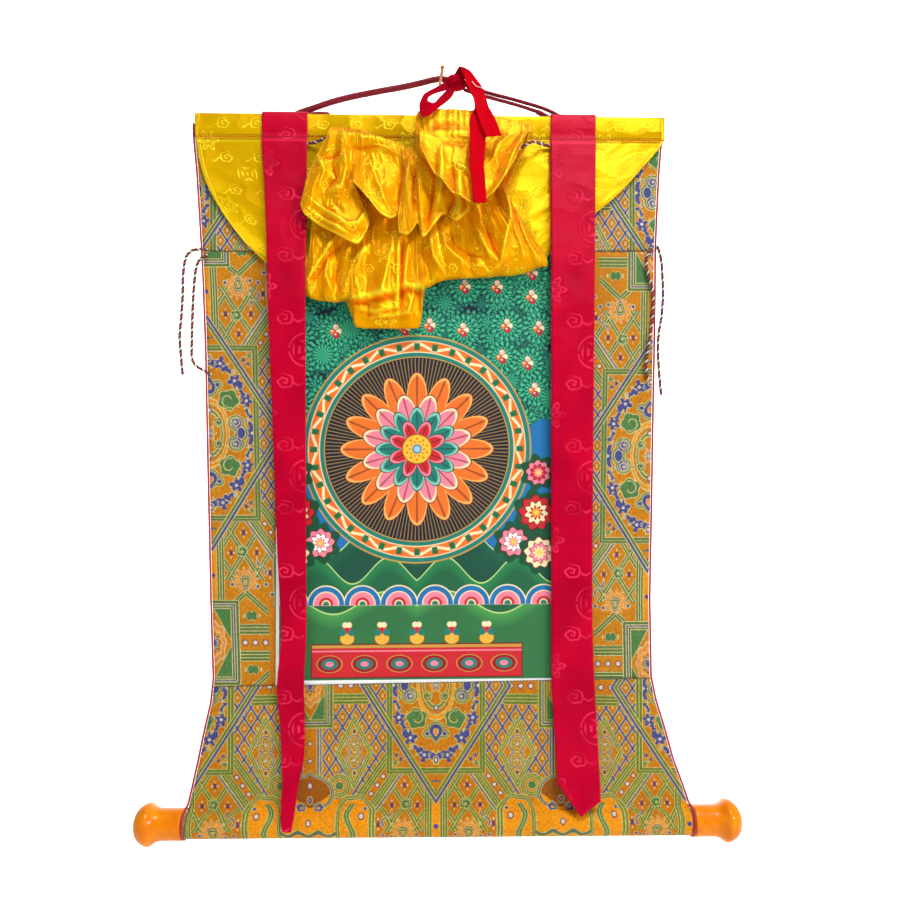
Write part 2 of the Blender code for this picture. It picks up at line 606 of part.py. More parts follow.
def cover_lines():
    """The cover's control lines across its folds, from the heading to the hem in front."""
    f = cover_folds()
    column = np.ones_like(f["head"])
    string = np.array(GATHER_STRING)
    string_z = np.interp(f["crest_x"], string[:, 0], string[:, 2])
    front = POCKET_FRONT_Y - BROCADE / 2 - 2 * GAP - SILK / 2
    stitched = front + STITCH_DIP
    lines = [
        (f["head"], (POCKET_BACK_Y - 1.5) * column, (HEADING_TOP + 1.6) * column),
        (f["head"], (front + 0.7) * column, (HEADING_TOP + 1.2) * column),
        (f["head"], front * column, (HEADING_TOP - 1.6) * column),
        (f["head"], front * column, (STITCH_Z + 6.0) * column),
        (f["head"], stitched * column, STITCH_Z * column),
    ]
    for share, left, right in COVER_SWEEP:
        moved = left * (1 - f["share"]) + right * f["share"]
        lines.append((
            f["head"] + (f["foot_x"] - f["head"]) * moved,
            (stitched * (1 - share) + (COVER_BACK_Y + 1.0) * share) * column,
            STITCH_Z + (f["foot_z"] - STITCH_Z) * share,
        ))
    lines += [
        (f["foot_x"], COVER_BACK_Y * column, f["foot_z"] + 3.0),
        (f["foot_x"], (COVER_BACK_Y + f["lip_y"]) / 2, (f["foot_z"] + f["lip_z"]) / 2 - 1.2),
        (f["foot_x"], f["lip_y"], f["lip_z"] + 3.0),
        (
            0.55 * f["foot_x"] + 0.45 * f["waist_x"],
            0.5 * f["lip_y"] + 0.5 * f["waist_y"],
            0.55 * f["lip_z"] + 0.45 * WAIST_Z,
        ),
        (f["waist_x"], f["waist_y"], WAIST_Z * column),
        (0.2 * f["waist_x"] + 0.8 * f["crest_x"], STRING_BACK_Y * column, string_z),
        (f["crest_x"], (STRING_BACK_Y + STRING_FRONT_Y) / 2 * column, f["crest_z"]),
        (
            0.8 * f["crest_x"] + 0.2 * f["mid_x"],
            np.minimum(STRING_FRONT_Y, 0.5 * f["mid_y"] + 0.5 * STRING_FRONT_Y),
            0.5 * np.minimum(string_z, f["crest_z"] - 6.0) + 0.375 * f["crest_z"] + 0.125 * f["mid_z"],
        ),
        (f["mid_x"], f["mid_y"], f["mid_z"]),
        (f["hem_x"], f["hem_y"], f["hem_z"]),
    ]
    return np.array([np.stack(line, axis=-1) for line in lines])


def make_cover(finish):
    """The silk cover, one cloth: down from the heading, back up, over its string and down in front."""
    grid_sheet("silk_cover", fold_curve(cover_lines(), COVER_STEPS), SILK, finish)


def make_cords(red, twisted):
    """The hanging cord, its doubled return, their tucked ends, the gather string and the side ties."""
    tube("hanging_cord", HANGING_CORD, HANGING_CORD_DIAMETER, red, spacing=1.0)
    tube("doubled_cord_upper", DOUBLED_CORD_UPPER, DOUBLED_CORD_DIAMETER, red)
    tube("doubled_cord_lower", DOUBLED_CORD_LOWER, DOUBLED_CORD_DIAMETER, red)
    tube("cord_end_left", CORD_END_LEFT, CORD_END_DIAMETER, red, spacing=1.0)
    tube("cord_end_right", CORD_END_RIGHT, CORD_END_DIAMETER, red, spacing=1.0)
    tube("gather_string", GATHER_STRING, GATHER_STRING_DIAMETER, twisted)
    in_front = -(BROCADE / 2 + SIDE_TIE_DIAMETER / 2 + 2 * GAP)
    for name, route in SIDE_TIES.items():
        tube(name, [(x, hang_y(z) + in_front, z) for x, z in route], SIDE_TIE_DIAMETER, twisted)


def strip_grid(rows):
    """Three columns across a ribbon, from rows of left point and right point."""
    rows = np.array(rows, float)
    return np.stack([rows[:, 0], (rows[:, 0] + rows[:, 1]) / 2, rows[:, 1]], axis=1)


def bow_rows(table, count):
    """Both edges' points along the loop or a tail of the bow."""
    rows = smooth_route(table, count)
    return [((lx, y, lz), (rx, y, rz)) for lx, lz, rx, rz, y in rows]


def make_bow(finish):
    """The red tie: its knot, loop and tails joined into one solid.

    The knot is a ball with three soft lumps round its rim, where the ribbon crosses itself.
    """
    mesh = bpy.data.meshes.new("tie_bow")
    ball = bmesh.new()
    bmesh.ops.create_uvsphere(ball, u_segments=16, v_segments=10, radius=1.0)
    for vertex in ball.verts:
        x, y, z = vertex.co
        lump = 1.0 + KNOT_LUMP * math.cos(3 * math.atan2(z, x) + 1.0) * (1 - y * y)
        vertex.co = Vector((x * KNOT_SIZE[0] * lump, y * KNOT_SIZE[1], z * KNOT_SIZE[2] * lump)) * MM
        vertex.co += Vector(KNOT_CENTRE) * MM
    ball.to_mesh(mesh)
    ball.free()
    mesh.shade_smooth()
    bow = place("tie_bow", mesh, finish)
    helpers = bpy.data.collections[HELPERS]
    for name, rows in (
        ("bow_loop", bow_rows(TIE_LOOP, 26)),
        ("bow_tail_long", bow_rows(TIE_TAIL_LONG, 20)),
        ("bow_tail_short", bow_rows(TIE_TAIL_SHORT, 20)),
    ):
        strip = grid_sheet(name, strip_grid(rows), BOW_RIBBON, finish)
        bpy.data.collections[COLLECTION].objects.unlink(strip)
        helpers.objects.link(strip)
        strip.hide_render = True
        strip.display_type = "WIRE"
        union = bow.modifiers.new(name, "BOOLEAN")
        union.operation = "UNION"
        union.object = strip


def make_rod(wood, lacquer):
    """The wooden rod and its two turned and lacquered knobs."""
    bpy.ops.mesh.primitive_cylinder_add(
        vertices=32, radius=ROD_RADIUS * MM, depth=2 * ROD_HALF * MM,
        location=(0, ROD_Y * MM, ROD_Z * MM), rotation=(0, math.pi / 2, 0),
    )
    rod = bpy.context.object
    rod.name = rod.data.name = "bottom_rod"
    rod.data.materials.append(wood)
    rod.users_collection[0].objects.unlink(rod)
    bpy.data.collections[COLLECTION].objects.link(rod)
    profile = [(radius, along) for along, radius in reversed(KNOB_PROFILE)]
    for name, turn in (("knob_left", -math.pi / 2), ("knob_right", math.pi / 2)):
        knob = turned(name, profile, lacquer)
        knob.location = (0, ROD_Y * MM, ROD_Z * MM)
        knob.rotation_euler = (0, turn, 0)


def make_nail(finish):
    """The nail in the wall, tilted up a little so that the cord stays on it, and leaning to the right."""
    nail = turned("nail", NAIL_PROFILE, finish, steps=16)
    nail.rotation_euler = (math.pi / 2 - NAIL_TILT, 0, NAIL_LEAN)


def main():
    clear_scene()
    for name in (COLLECTION, HELPERS):
        bpy.context.scene.collection.children.link(bpy.data.collections.new(name))
    bpy.data.collections[HELPERS].hide_render = True
    brocade = material("brocade", (0.72, 0.42, 0.06), 0.6)
    silk = material("yellow_silk", (0.95, 0.62, 0.02), 0.35)
    crimson = material("crimson_damask", (0.55, 0.01, 0.05), 0.4)
    red_cloth = material("red_cloth", (0.60, 0.01, 0.03), 0.7)
    painted = material("painted_cloth", (0.10, 0.22, 0.22), 0.7)
    twisted = material("twisted_cord", (0.25, 0.12, 0.10), 0.7)
    lacquer = material("orange_lacquer", (0.90, 0.42, 0.02), 0.2)
    wood = material("bare_wood", (0.62, 0.45, 0.26), 0.6)
    brass = material("brass", (0.55, 0.33, 0.12), 0.35, 1.0)
    make_batten(wood)
    panels = make_brocades(brocade)
    make_picture(painted)
    make_piping(panels, red_cloth)
    make_cover(silk)
    make_ribbons(crimson)
    make_cords(red_cloth, twisted)
    make_bow(red_cloth)
    make_rod(wood, lacquer)
    make_nail(brass)


main()
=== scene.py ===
"""The thangka scroll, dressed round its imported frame, with its camera, light and floor.

Axes are the frame's: +Z up, -Y out of the wall towards the viewer, and Y = 0 the wall's plane. Sizes and
tables are in millimetres, and `MM` takes them to the frame's metres as each mesh is made. Every cloth is a
grid of rows that run down it and columns that run to its right, every cord and turned piece is a profile
carried along a route, and all are worked out as whole arrays.
"""

import copy
import json
import logging
import math
from dataclasses import dataclass, field
from enum import Enum
from typing import Callable, Sequence

import bpy
import numpy as np
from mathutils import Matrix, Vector

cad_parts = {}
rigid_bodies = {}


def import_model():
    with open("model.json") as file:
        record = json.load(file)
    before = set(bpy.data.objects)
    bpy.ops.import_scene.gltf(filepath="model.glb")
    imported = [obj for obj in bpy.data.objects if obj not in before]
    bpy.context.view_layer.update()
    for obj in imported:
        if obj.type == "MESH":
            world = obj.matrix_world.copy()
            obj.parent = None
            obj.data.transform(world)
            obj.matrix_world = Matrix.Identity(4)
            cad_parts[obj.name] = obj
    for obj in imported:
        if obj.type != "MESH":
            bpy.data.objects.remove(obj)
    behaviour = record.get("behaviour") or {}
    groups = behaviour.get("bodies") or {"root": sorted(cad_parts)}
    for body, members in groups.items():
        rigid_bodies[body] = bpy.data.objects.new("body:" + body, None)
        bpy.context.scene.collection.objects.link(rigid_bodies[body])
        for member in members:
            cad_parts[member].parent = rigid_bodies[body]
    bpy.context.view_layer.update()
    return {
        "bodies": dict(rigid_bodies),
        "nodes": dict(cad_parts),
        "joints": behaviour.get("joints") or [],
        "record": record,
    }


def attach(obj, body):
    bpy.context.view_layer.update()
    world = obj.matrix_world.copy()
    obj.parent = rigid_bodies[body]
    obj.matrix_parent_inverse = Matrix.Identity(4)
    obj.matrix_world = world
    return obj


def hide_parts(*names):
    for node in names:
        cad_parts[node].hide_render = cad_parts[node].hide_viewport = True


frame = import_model()

MM = 0.001
ROOT = "root"
# The least width that is worked out for a cloth, in millimetres
LEAST_WIDTH = 10.5
# Points of a route that are nearer than this, in millimetres, count as one
LEAST_STEP = 1e-6
# Places worked out from each point of a route to the next, before they are spaced evenly
STEPS_BETWEEN_KNOTS = 16
Array = np.ndarray
Point = tuple[float, float, float]
Colour = tuple[float, float, float]
Socket = bpy.types.NodeSocket
Finish = bpy.types.Material
Piece = bpy.types.Object
log = logging.getLogger("scroll")


class Side(Enum):
    """A side of the scroll, as the sign of its x."""

    LEFT = -1
    RIGHT = 1


# ---------------------------------------------------------------- shader arithmetic


def dye(red: int, green: int, blue: int) -> Colour:
    """A colour as the eye reads it, 0 to 255, taken to the shader's linear values.

    Args:
        red: Its red, 0 to 255.
        green: Its green.
        blue: Its blue.

    Returns:
        The linear colour.
    """
    share = np.array((red, green, blue)) / 255
    linear = np.where(share <= 0.04045, share / 12.92, ((share + 0.055) / 1.055) ** 2.4)
    return tuple(float(value) for value in linear)


def feed(tree: bpy.types.NodeTree, slot: Socket, value: "Number | Socket | Colour | float") -> None:
    """Gives a node's slot its value.

    Args:
        tree: The slot's tree.
        slot: The slot.
        value: A Number or a socket to link to it, or a plain number or colour to set on it.
    """
    if isinstance(value, Number):
        value = value.socket
    if isinstance(value, Socket):
        tree.links.new(value, slot)
    else:
        slot.default_value = (*value, 1.0) if slot.type == "RGBA" else value


class Number:
    """A value that the shader works out at each point. Arithmetic on it adds Math nodes."""

    def __init__(self, tree: bpy.types.NodeTree, socket: Socket) -> None:
        """Keeps the socket that gives the value, and its tree."""
        self.tree = tree
        self.socket = socket

    def math(self, operation: str, *others: "Number | float", clamp: bool = False) -> "Number":
        """One Math node on this value.

        Args:
            operation: The node's operation.
            others: Its other inputs, as values or plain numbers.
            clamp: Whether the result is held between 0 and 1.

        Returns:
            The node's result.
        """
        node = self.tree.nodes.new("ShaderNodeMath")
        node.operation = operation
        node.use_clamp = clamp
        for slot, value in zip(node.inputs, (self, *others)):
            feed(self.tree, slot, value)
        return Number(self.tree, node.outputs[0])

    def __add__(self, other: "Number | float") -> "Number":
        """The sum."""
        return self.math("ADD", other)

    def __sub__(self, other: "Number | float") -> "Number":
        """The difference."""
        return self.math("SUBTRACT", other)

    def __rsub__(self, other: float) -> "Number":
        """A plain number less this one."""
        return self.math("MULTIPLY_ADD", -1.0, other)

    def __mul__(self, other: "Number | float") -> "Number":
        """The product."""
        return self.math("MULTIPLY", other)

    def __abs__(self) -> "Number":
        """The size, without its sign."""
        return self.math("ABSOLUTE")

    def least(self, other: "Number | float") -> "Number":
        """The smaller of two."""
        return self.math("MINIMUM", other)

    def most(self, other: "Number | float") -> "Number":
        """The larger of two."""
        return self.math("MAXIMUM", other)

    def fold(self, half: float) -> "Number":
        """The distance to the nearest of a row of mirror lines, 2 * half apart, of which one is at 0."""
        return self.math("PINGPONG", half)

    def wave(self, count: float = 1.0, phase: float = 0.0) -> "Number":
        """The cosine of count times this, in radians, plus a phase."""
        return self.math("MULTIPLY_ADD", count, phase).math("COSINE")

    def turn_from(self, x: "Number") -> "Number":
        """The angle of a point whose height is this and whose distance across is x, in radians."""
        return self.math("ARCTAN2", x)

    def beyond(self, other: "Number", ratio: float = 1.0) -> "Number":
        """The length of a vector of this and ratio times another, so an ellipse's radius.

        Args:
            other: The vector's other value.
            ratio: What that is multiplied by.

        Returns:
            The length.
        """
        square = self * self
        scaled = other * ratio
        return scaled.math("MULTIPLY_ADD", scaled, square).math("SQRT")

    def inside(self, limit: float = 0.0, soft: float = 0.8) -> "Number":
        """1 where this is under the limit, 0 where it is over, blurred across a width of soft."""
        return self.math("MULTIPLY_ADD", -1.0 / soft, limit / soft + 0.5, clamp=True)

    def outside(self, limit: float = 0.0, soft: float = 0.8) -> "Number":
        """1 where this is over the limit, 0 where it is under."""
        return self.math("MULTIPLY_ADD", 1.0 / soft, 0.5 - limit / soft, clamp=True)

    def band(self, start: float, end: float, soft: float = 0.8) -> "Number":
        """1 between two limits."""
        return abs(self - (start + end) / 2).inside((end - start) / 2, soft)


@dataclass
class Paint:
    """A material being made: its node tree and shader, and the colour laid down so far."""

    name: str

    def __post_init__(self) -> None:
        """Makes an empty material with its shader."""
        self.material = bpy.data.materials.new(self.name)
        self.material.use_nodes = True
        self.tree = self.material.node_tree
        self.shader = self.tree.nodes["Principled BSDF"]
        self.colour = None

    def node(self, kind: str, inputs: "dict | None" = None, **settings: "str | bool") -> bpy.types.Node:
        """A new node.

        Args:
            kind: Its type, without the ShaderNode in front.
            inputs: What its slots get, by name or number.
            settings: Its other settings, by name.

        Returns:
            The node.
        """
        node = self.tree.nodes.new(f"ShaderNode{kind}")
        for name, value in settings.items():
            setattr(node, name, value)
        for slot, value in (inputs or {}).items():
            feed(self.tree, node.inputs[slot], value)
        return node

    def stage(self, draw: Callable[..., None], *values: Number) -> None:
        """Lets a method paint in a node group of its own, from these values and the colour so far.

        Args:
            draw: It takes a Paint and the values, and lays colours.
            values: What the group reads, in the method's order.
        """
        group = bpy.data.node_groups.new(f"{self.name}{draw.__name__}", "ShaderNodeTree")
        group.interface.new_socket("colour", in_out="OUTPUT", socket_type="NodeSocketColor")
        group.interface.new_socket("colour", in_out="INPUT", socket_type="NodeSocketColor")
        for number in range(len(values)):
            group.interface.new_socket(f"value_{number}", in_out="INPUT", socket_type="NodeSocketFloat")
        source = group.nodes.new("NodeGroupInput").outputs
        inner = copy.copy(self)
        inner.tree, inner.colour = group, source[0]
        draw(inner, *(Number(group, source[number + 1]) for number in range(len(values))))
        group.links.new(inner.colour, group.nodes.new("NodeGroupOutput").inputs[0])
        node = self.node("Group", node_tree=group)
        for slot, value in zip(node.inputs, (self.colour, *values)):
            feed(self.tree, slot, value)
        self.colour = node.outputs[0]

    def parts(self, vector: Socket, kind: str = "SeparateXYZ") -> list[Number]:
        """The three values of a vector or a colour."""
        return [Number(self.tree, part) for part in self.node(kind, {0: vector}).outputs[:3]]

    def across_and_along(self, scale: float = 1000.0) -> tuple[Number, Number]:
        """The piece's own cloth coordinates, by default in millimetres."""
        across, along, _ = self.parts(self.node("UVMap", uv_map="cloth").outputs[0])
        return across * scale, along * scale

    def marked(self, name: str) -> Number:
        """A value that the piece's points carry, or 0 where it has none."""
        return Number(self.tree, self.node("Attribute", attribute_name=name).outputs["Fac"])

    def wall_side(self) -> Number:
        """1 on faces that look towards the wall, which show the cloth's plainer reverse."""
        return self.parts(self.node("NewGeometry").outputs["Normal"])[1].outside(0.3, 0.1)

    def place(self) -> Socket:
        """The point's place in the frame, for a pattern on Object coordinates."""
        source = self.node("TexCoord").outputs["Object"]
        return self.node("VectorMath", {0: source, "Scale": 1.0}, operation="SCALE").outputs[0]

    def point(self, x: "Number | float", y: "Number | float", z: "Number | float" = 0.0) -> Socket:
        """A vector of three values, for a texture to read."""
        return self.node("CombineXYZ", {0: x, 1: y, 2: z}).outputs[0]

    def noise(self, at: Socket, scale: float, detail: float = 2.0) -> Number:
        """Soft cloudy variation from 0 to 1, with `scale` clouds to a unit of the vector `at`."""
        node = self.node("TexNoise", {"Scale": scale, "Detail": detail, "Vector": at})
        return Number(self.tree, node.outputs[0])

    def cells(self, at: Socket, scale: float, chance: float = 1.0) -> tuple[Number, Number]:
        """Scattered spots: the distance to the nearest one in cells, and a value of its own for each.

        Args:
            at: The vector to read.
            scale: Cells to a unit of it.
            chance: How uneven they are.

        Returns:
            The distance, and the spot's value from 0 to 1.
        """
        node = self.node("TexVoronoi", {"Scale": scale, "Randomness": chance, "Vector": at})
        own = self.parts(node.outputs["Color"], "SeparateColor")[0]
        return Number(self.tree, node.outputs["Distance"]), own

    def nearest(self, x: Number, y: Number, scale: float) -> tuple[Number, Number, Number]:
        """Where a point lies in a scattered cell.

        Args:
            x: The point's place across.
            y: Its place down.
            scale: Cells to a unit of both.

        Returns:
            Its offsets across and down from the cell's middle, in cells, and the cell's own value.
        """
        at = self.point(x * scale, y * scale)
        slots = {"Scale": 1.0, "Randomness": 0.7, "Vector": at}
        node = self.node("TexVoronoi", slots, voronoi_dimensions="2D")
        away = self.node("VectorMath", {0: at, 1: node.outputs["Position"]}, operation="SUBTRACT")
        across, down, _ = self.parts(away.outputs[0])
        return across, down, self.parts(node.outputs["Color"], "SeparateColor")[0]

    def start(self, colour: Colour) -> None:
        """Lays down the ground colour."""
        self.colour = colour

    def lay(self, mask: Number, colour: "Colour | Socket") -> None:
        """Lays a colour over what is there, where the mask is 1."""
        self.colour = self.node("Mix", {0: mask, 6: self.colour, 7: colour}, data_type="RGBA").outputs[2]

    def discs(self, size: Number, fills: Sequence[tuple[float, Colour]], where: Number | None = None) -> None:
        """Fills within limits, laid one over another.

        Args:
            size: The value that the limits are for.
            fills: Limits and colours, from the widest inwards.
            where: A mask on all of them.
        """
        for limit, colour in fills:
            mask = size.inside(limit)
            self.lay(mask if where is None else mask * where, colour)

    def layers(self, size: Number, layers: Sequence[tuple[float, Colour]], where: Number | None = None,
               soft: float = 0.8) -> None:
        """Nested fills, by one colour ramp: each colour covers what lies within its limit of `size`.

        Args:
            size: The value that the limits are for.
            layers: Limits and colours, from the widest inwards.
            where: A mask on all of them.
            soft: How far each edge is blurred.
        """
        low, high = layers[-1][0] - 2 * soft, layers[0][0] + 2 * soft
        gaps = [soft] + [(wide - near) / 2 for (wide, _), (near, _) in zip(layers, layers[1:])] + [soft]
        beside = [None] + [colour for _, colour in layers]
        stops = []
        # Two stops at each limit, just under half of a blur or of the gap to the next limit away from it
        for (limit, colour), outer, before, after in zip(layers, beside, gaps, gaps[1:]):
            stops.append((limit + min(soft, before) * 0.49, outer or colour, float(outer is not None)))
            stops.append((limit - min(soft, after) * 0.49, colour, 1.0))
        # Made before what feeds it: in the other order the brocade outgrows the renderer's stack, and is black
        node = self.node("ValToRGB")
        elements = node.color_ramp.elements
        for number, (value, colour, alpha) in enumerate(reversed(stops)):
            position = (value - low) / (high - low)
            element = elements[number] if number < 2 else elements.new(position)
            element.position = position
            element.color = (*colour, alpha)
        feed(self.tree, node.inputs[0], size.math("MULTIPLY_ADD", 1.0 / (high - low), -low / (high - low)))
        mask = Number(self.tree, node.outputs["Alpha"])
        self.lay(mask if where is None else mask * where, node.outputs["Color"])

    def shade(self, amount: Number) -> None:
        """Multiplies the colour by a value."""
        self.colour = self.node("VectorMath", {0: self.colour, "Scale": amount}, operation="SCALE").outputs[0]

    def set(self, **values: float) -> None:
        """Sets plain values on the shader's own sockets, named with _ for a space."""
        for name, value in values.items():
            self.shader.inputs[name.replace("_", " ")].default_value = value

    def roughness(self, value: Number) -> None:
        """Links the roughness."""
        feed(self.tree, self.shader.inputs["Roughness"], value)

    def bump(self, height: Number, depth: float, distance: float = 0.001) -> None:
        """Raises the surface by the height, at this strength, over this distance in metres."""
        node = self.node("Bump", {"Strength": depth, "Distance": distance, "Height": height})
        feed(self.tree, self.shader.inputs["Normal"], node.outputs[0])

    def done(self) -> Finish:
        """Links the colour and gives back the material."""
        feed(self.tree, self.shader.inputs["Base Color"], self.colour)
        return self.material


# ---------------------------------------------------------------- finishes


@dataclass(frozen=True)
class Brocade:
    """Woven brocade with medallions in rhombuses, nested square frames, lattices and clouds between.

    The repeat is mirrored across and down. In it, `b` is the distance from the medallions' axis and `a` from
    the axis halfway to the next one, `w` the distance below the medallions' row and `t` from the row halfway.
    """

    name: str = "brocade"
    ground: Colour = dye(206, 130, 18)
    bright: Colour = dye(234, 150, 14)
    brown: Colour = dye(166, 92, 14)
    green: Colour = dye(96, 122, 58)
    leaf: Colour = dye(80, 128, 70)
    blue: Colour = dye(76, 78, 142)
    cream: Colour = dye(212, 200, 136)
    pale: Colour = dye(224, 212, 180)
    plum: Colour = dye(106, 62, 92)
    rose: Colour = dye(230, 140, 64)
    reverse: Colour = dye(150, 112, 62)
    half_across: float = 124.25
    half_down: float = 207.5
    thread: float = 0.8
    value: float = 1.0

    def material(self) -> Finish:
        """The brocade's material, from the cloth's own coordinates in millimetres.

        Returns:
            The material.
        """
        paint = Paint(self.name)
        across, along = paint.across_and_along()
        # Thread by thread, so that every edge has the small steps of weaving
        b = across.math("SNAP", self.thread).fold(self.half_across)
        w = along.math("SNAP", self.thread).fold(self.half_down)
        a = self.half_across - b
        t = self.half_down - w
        # Distance outside the long frame, and across the slanting bundles from their first band's middle
        frame = (b - 46.0).most(w - 84.5)
        slant = (b - w * 0.7 + 20.3) * 0.819
        paint.start(self.ground)
        paint.stage(self._lattice, b, w)
        paint.stage(self._diamonds, a, w)
        paint.stage(self._cells, b, w, slant)
        paint.stage(self._bundles, a, b, w, frame, slant)
        paint.stage(self._clouds, a, w, t)
        paint.stage(self._lotus, b, w)
        for x, y, wide, reach in ((a, w, 21.5, 57.0), (b, t, 24.0, 54.0)):
            paint.stage(self._square, x, y, x - wide, x - reach)
        paint.stage(self._medallion, b, w)
        paint.stage(self._rhombus, b, w, frame)
        paint.lay(paint.wall_side() * 0.8, self.reverse)
        self._threads(paint, across, along)
        return paint.done()

    def _stripes(self, paint: Paint, off: Number, where: Number, half: float, lines: int) -> None:
        """A green band with cream lines along it.

        Args:
            paint: The material being made.
            off: Signed distance from the band's middle.
            where: A mask on it.
            half: Half of its width.
            lines: How many cream lines run in it.
        """
        layers = [(half + 0.5, self.cream), (half, self.green)]
        for gap in (half * (1 - 2 * number / lines) for number in range(1, lines // 2 + 1)):
            layers.append((gap + 0.3, self.cream))
            if gap > 0.3:
                layers.append((gap - 0.3, self.green))
        paint.layers(abs(off), layers, where, 0.5)

    def _nest(self, paint: Paint, size: Number, fills: Sequence[tuple[float, Colour]],
              where: Number | None = None, line: float = 0.6,
              heart: Sequence[tuple[float, Colour]] = ()) -> None:
        """Nested fills, each with a cream line round it.

        Args:
            paint: The material being made.
            size: The value that the limits are for.
            fills: Limits and colours, from the widest inwards.
            where: A mask on all of them.
            line: Width of the cream lines.
            heart: More limits and colours inside these, without lines.
        """
        edged = [row for limit, colour in fills for row in ((limit + line, self.cream), (limit, colour))]
        paint.layers(size, (*edged, *heart), where)

    def _beads(self, paint: Paint, size: Number, radius: float, where: Number) -> None:
        """A row of pale beads in plum rings."""
        paint.layers(size, ((radius * 0.9, self.plum), (radius * 0.62, self.pale)), where)

    def _curl(self, paint: Paint, x: Number, y: Number, radius: float, fill: Colour, heart: Colour) -> None:
        """A leaf rolled into a spiral round a small heart, with a lobed edge and a cream line along it.

        Args:
            paint: The material being made.
            x: Distance across from its middle.
            y: Distance down from it.
            radius: Its size.
            fill: The leaf's colour.
            heart: The heart's colour.
        """
        turn = y.turn_from(x)
        size = x.beyond(y)
        lobed = size - turn.wave(5.0, 0.8) * (radius * 0.1)
        self._nest(paint, lobed, ((radius, fill),), line=0.7)
        spiral = (size - turn * (radius * 0.13) - radius * 0.2).fold(radius * 0.41)
        paint.lay(spiral.inside(0.5, 0.6) * lobed.inside(radius * 0.84), self.cream)
        paint.layers(size, ((radius * 0.24, heart),))

    def _lattice(self, paint: Paint, b: Number, w: Number) -> None:
        """Blue crossed lines with a bead in each cell, beside the rhombus.

        Args:
            paint: The material being made.
            b: Distance from the medallions' axis.
            w: Distance from the medallions' row.
        """
        rise = (b + w * 0.64).fold(6.6)
        fall = (b - w * 0.64).fold(6.6)
        where = w.inside(112.0)
        line = rise.least(fall)
        self._nest(paint, line, ((1.2, self.blue),), where, 0.7)
        bead = (6.6 - rise).beyond(6.6 - fall)
        paint.layers(bead, ((2.7, self.brown), (2.0, self.cream), (1.1, self.bright)), where)

    def _diamonds(self, paint: Paint, a: Number, w: Number) -> None:
        """Double-lined green diamonds with a figure of two lobes inside.

        Args:
            paint: The material being made.
            a: Distance from the axis halfway between two medallions.
            w: Distance from the medallions' row.
        """
        x = abs(a - 43.6)
        y = abs(w - 66.0)
        edge = (x * 2.0 + y - 36.6) * 0.447
        self._nest(paint, edge, ((0.0, self.green), (-2.1, self.green), (-4.2, self.ground)))
        down = y - 7.8
        turn = down.turn_from(x)
        lobe = x.beyond(down, 0.92) - turn.wave(9.0) * 0.5
        self._nest(paint, lobe, ((8.2, self.blue), (6.4, self.ground)))
        petal = x.beyond(down) - turn.wave(6.0) * 1.3
        self._nest(paint, petal, ((4.3, self.green), (2.4, self.brown)), line=0.7, heart=((0.9, self.pale),))
        self._nest(paint, x.beyond(y - 20.4, 0.7), ((1.6, self.plum),))

    def _cells(self, paint: Paint, b: Number, w: Number, slant: Number) -> None:
        """Crossing green double lines below the frame, with beads, spirals and an upright bundle.

        Args:
            paint: The material being made.
            b: Distance from the medallions' axis.
            w: Distance from the medallions' row.
            slant: Distance across the slanting bundles.
        """
        where = w.outside(88.0) * w.inside(146.0) * slant.inside(-5.0)
        paint.lay(where, self.ground)
        x, y = b - 31.0, w - 98.7
        rise = (x * 1.58 + y).fold(20.0)
        fall = (x * 1.58 - y).fold(20.0)
        line = (20.0 - rise.most(fall)) * 0.535
        paint.layers(line, ((2.7, self.cream), (2.2, self.green), (0.45, self.cream)), where, 0.5)
        spot = (rise + fall) * 0.3
        paint.layers(spot, ((1.5, self.plum),), where)
        ring = abs(rise - fall).beyond(rise + fall - 9.0, 0.9)
        paint.layers(ring, ((2.0, self.pale),), where)
        self._curl(paint, b - 29.0, w - 117.0, 5.0, self.leaf, self.cream)
        upright = w.outside(88.0) * w.inside(170.0)
        paint.lay(b.inside(5.0) * upright, self.bright)
        self._stripes(paint, b - 7.6, upright, 3.1, 3)
        paint.layers(b.beyond(w - 141.0), ((2.3, self.blue),), upright)
        paint.lay((b * 1.573 + w).inside(112.0) * upright, self.ground)

    def _bundles(self, paint: Paint, a: Number, b: Number, w: Number, frame: Number, slant: Number) -> None:
        """Bundles of green stripes that run slanting from the frames' corners, with a band of beads.

        Args:
            paint: The material being made.
            a: Distance from the axis halfway between two medallions.
            b: Distance from the medallions' axis.
            w: Distance from the medallions' row.
            frame: Distance outside the long frame.
            slant: Distance across the slanting bundles.
        """
        where = frame.outside(1.0) * w.inside(186.0) * w.outside(60.0)
        paint.lay(slant.band(-4.0, 19.0) * where, self.ground)
        self._stripes(paint, slant, where, 3.4, 3)
        self._stripes(paint, slant - 15.4, where, 3.6, 3)
        self._nest(paint, abs(slant + 5.6), ((0.8, self.blue),), where, 0.7)
        bead = (b * 0.58 + w * 0.82).fold(5.2).beyond(slant - 7.7)
        self._beads(paint, bead, 3.0, where)
        column = w.outside(41.0) * w.inside(88.0)
        paint.lay(a.inside(12.0) * column, self.ground)
        for at in (10.6, 7.8):
            self._nest(paint, abs(a - at), ((0.8, self.blue),), column, 0.7)
        self._beads(paint, a.beyond((w - 57.4).fold(8.6)), 2.6, column)

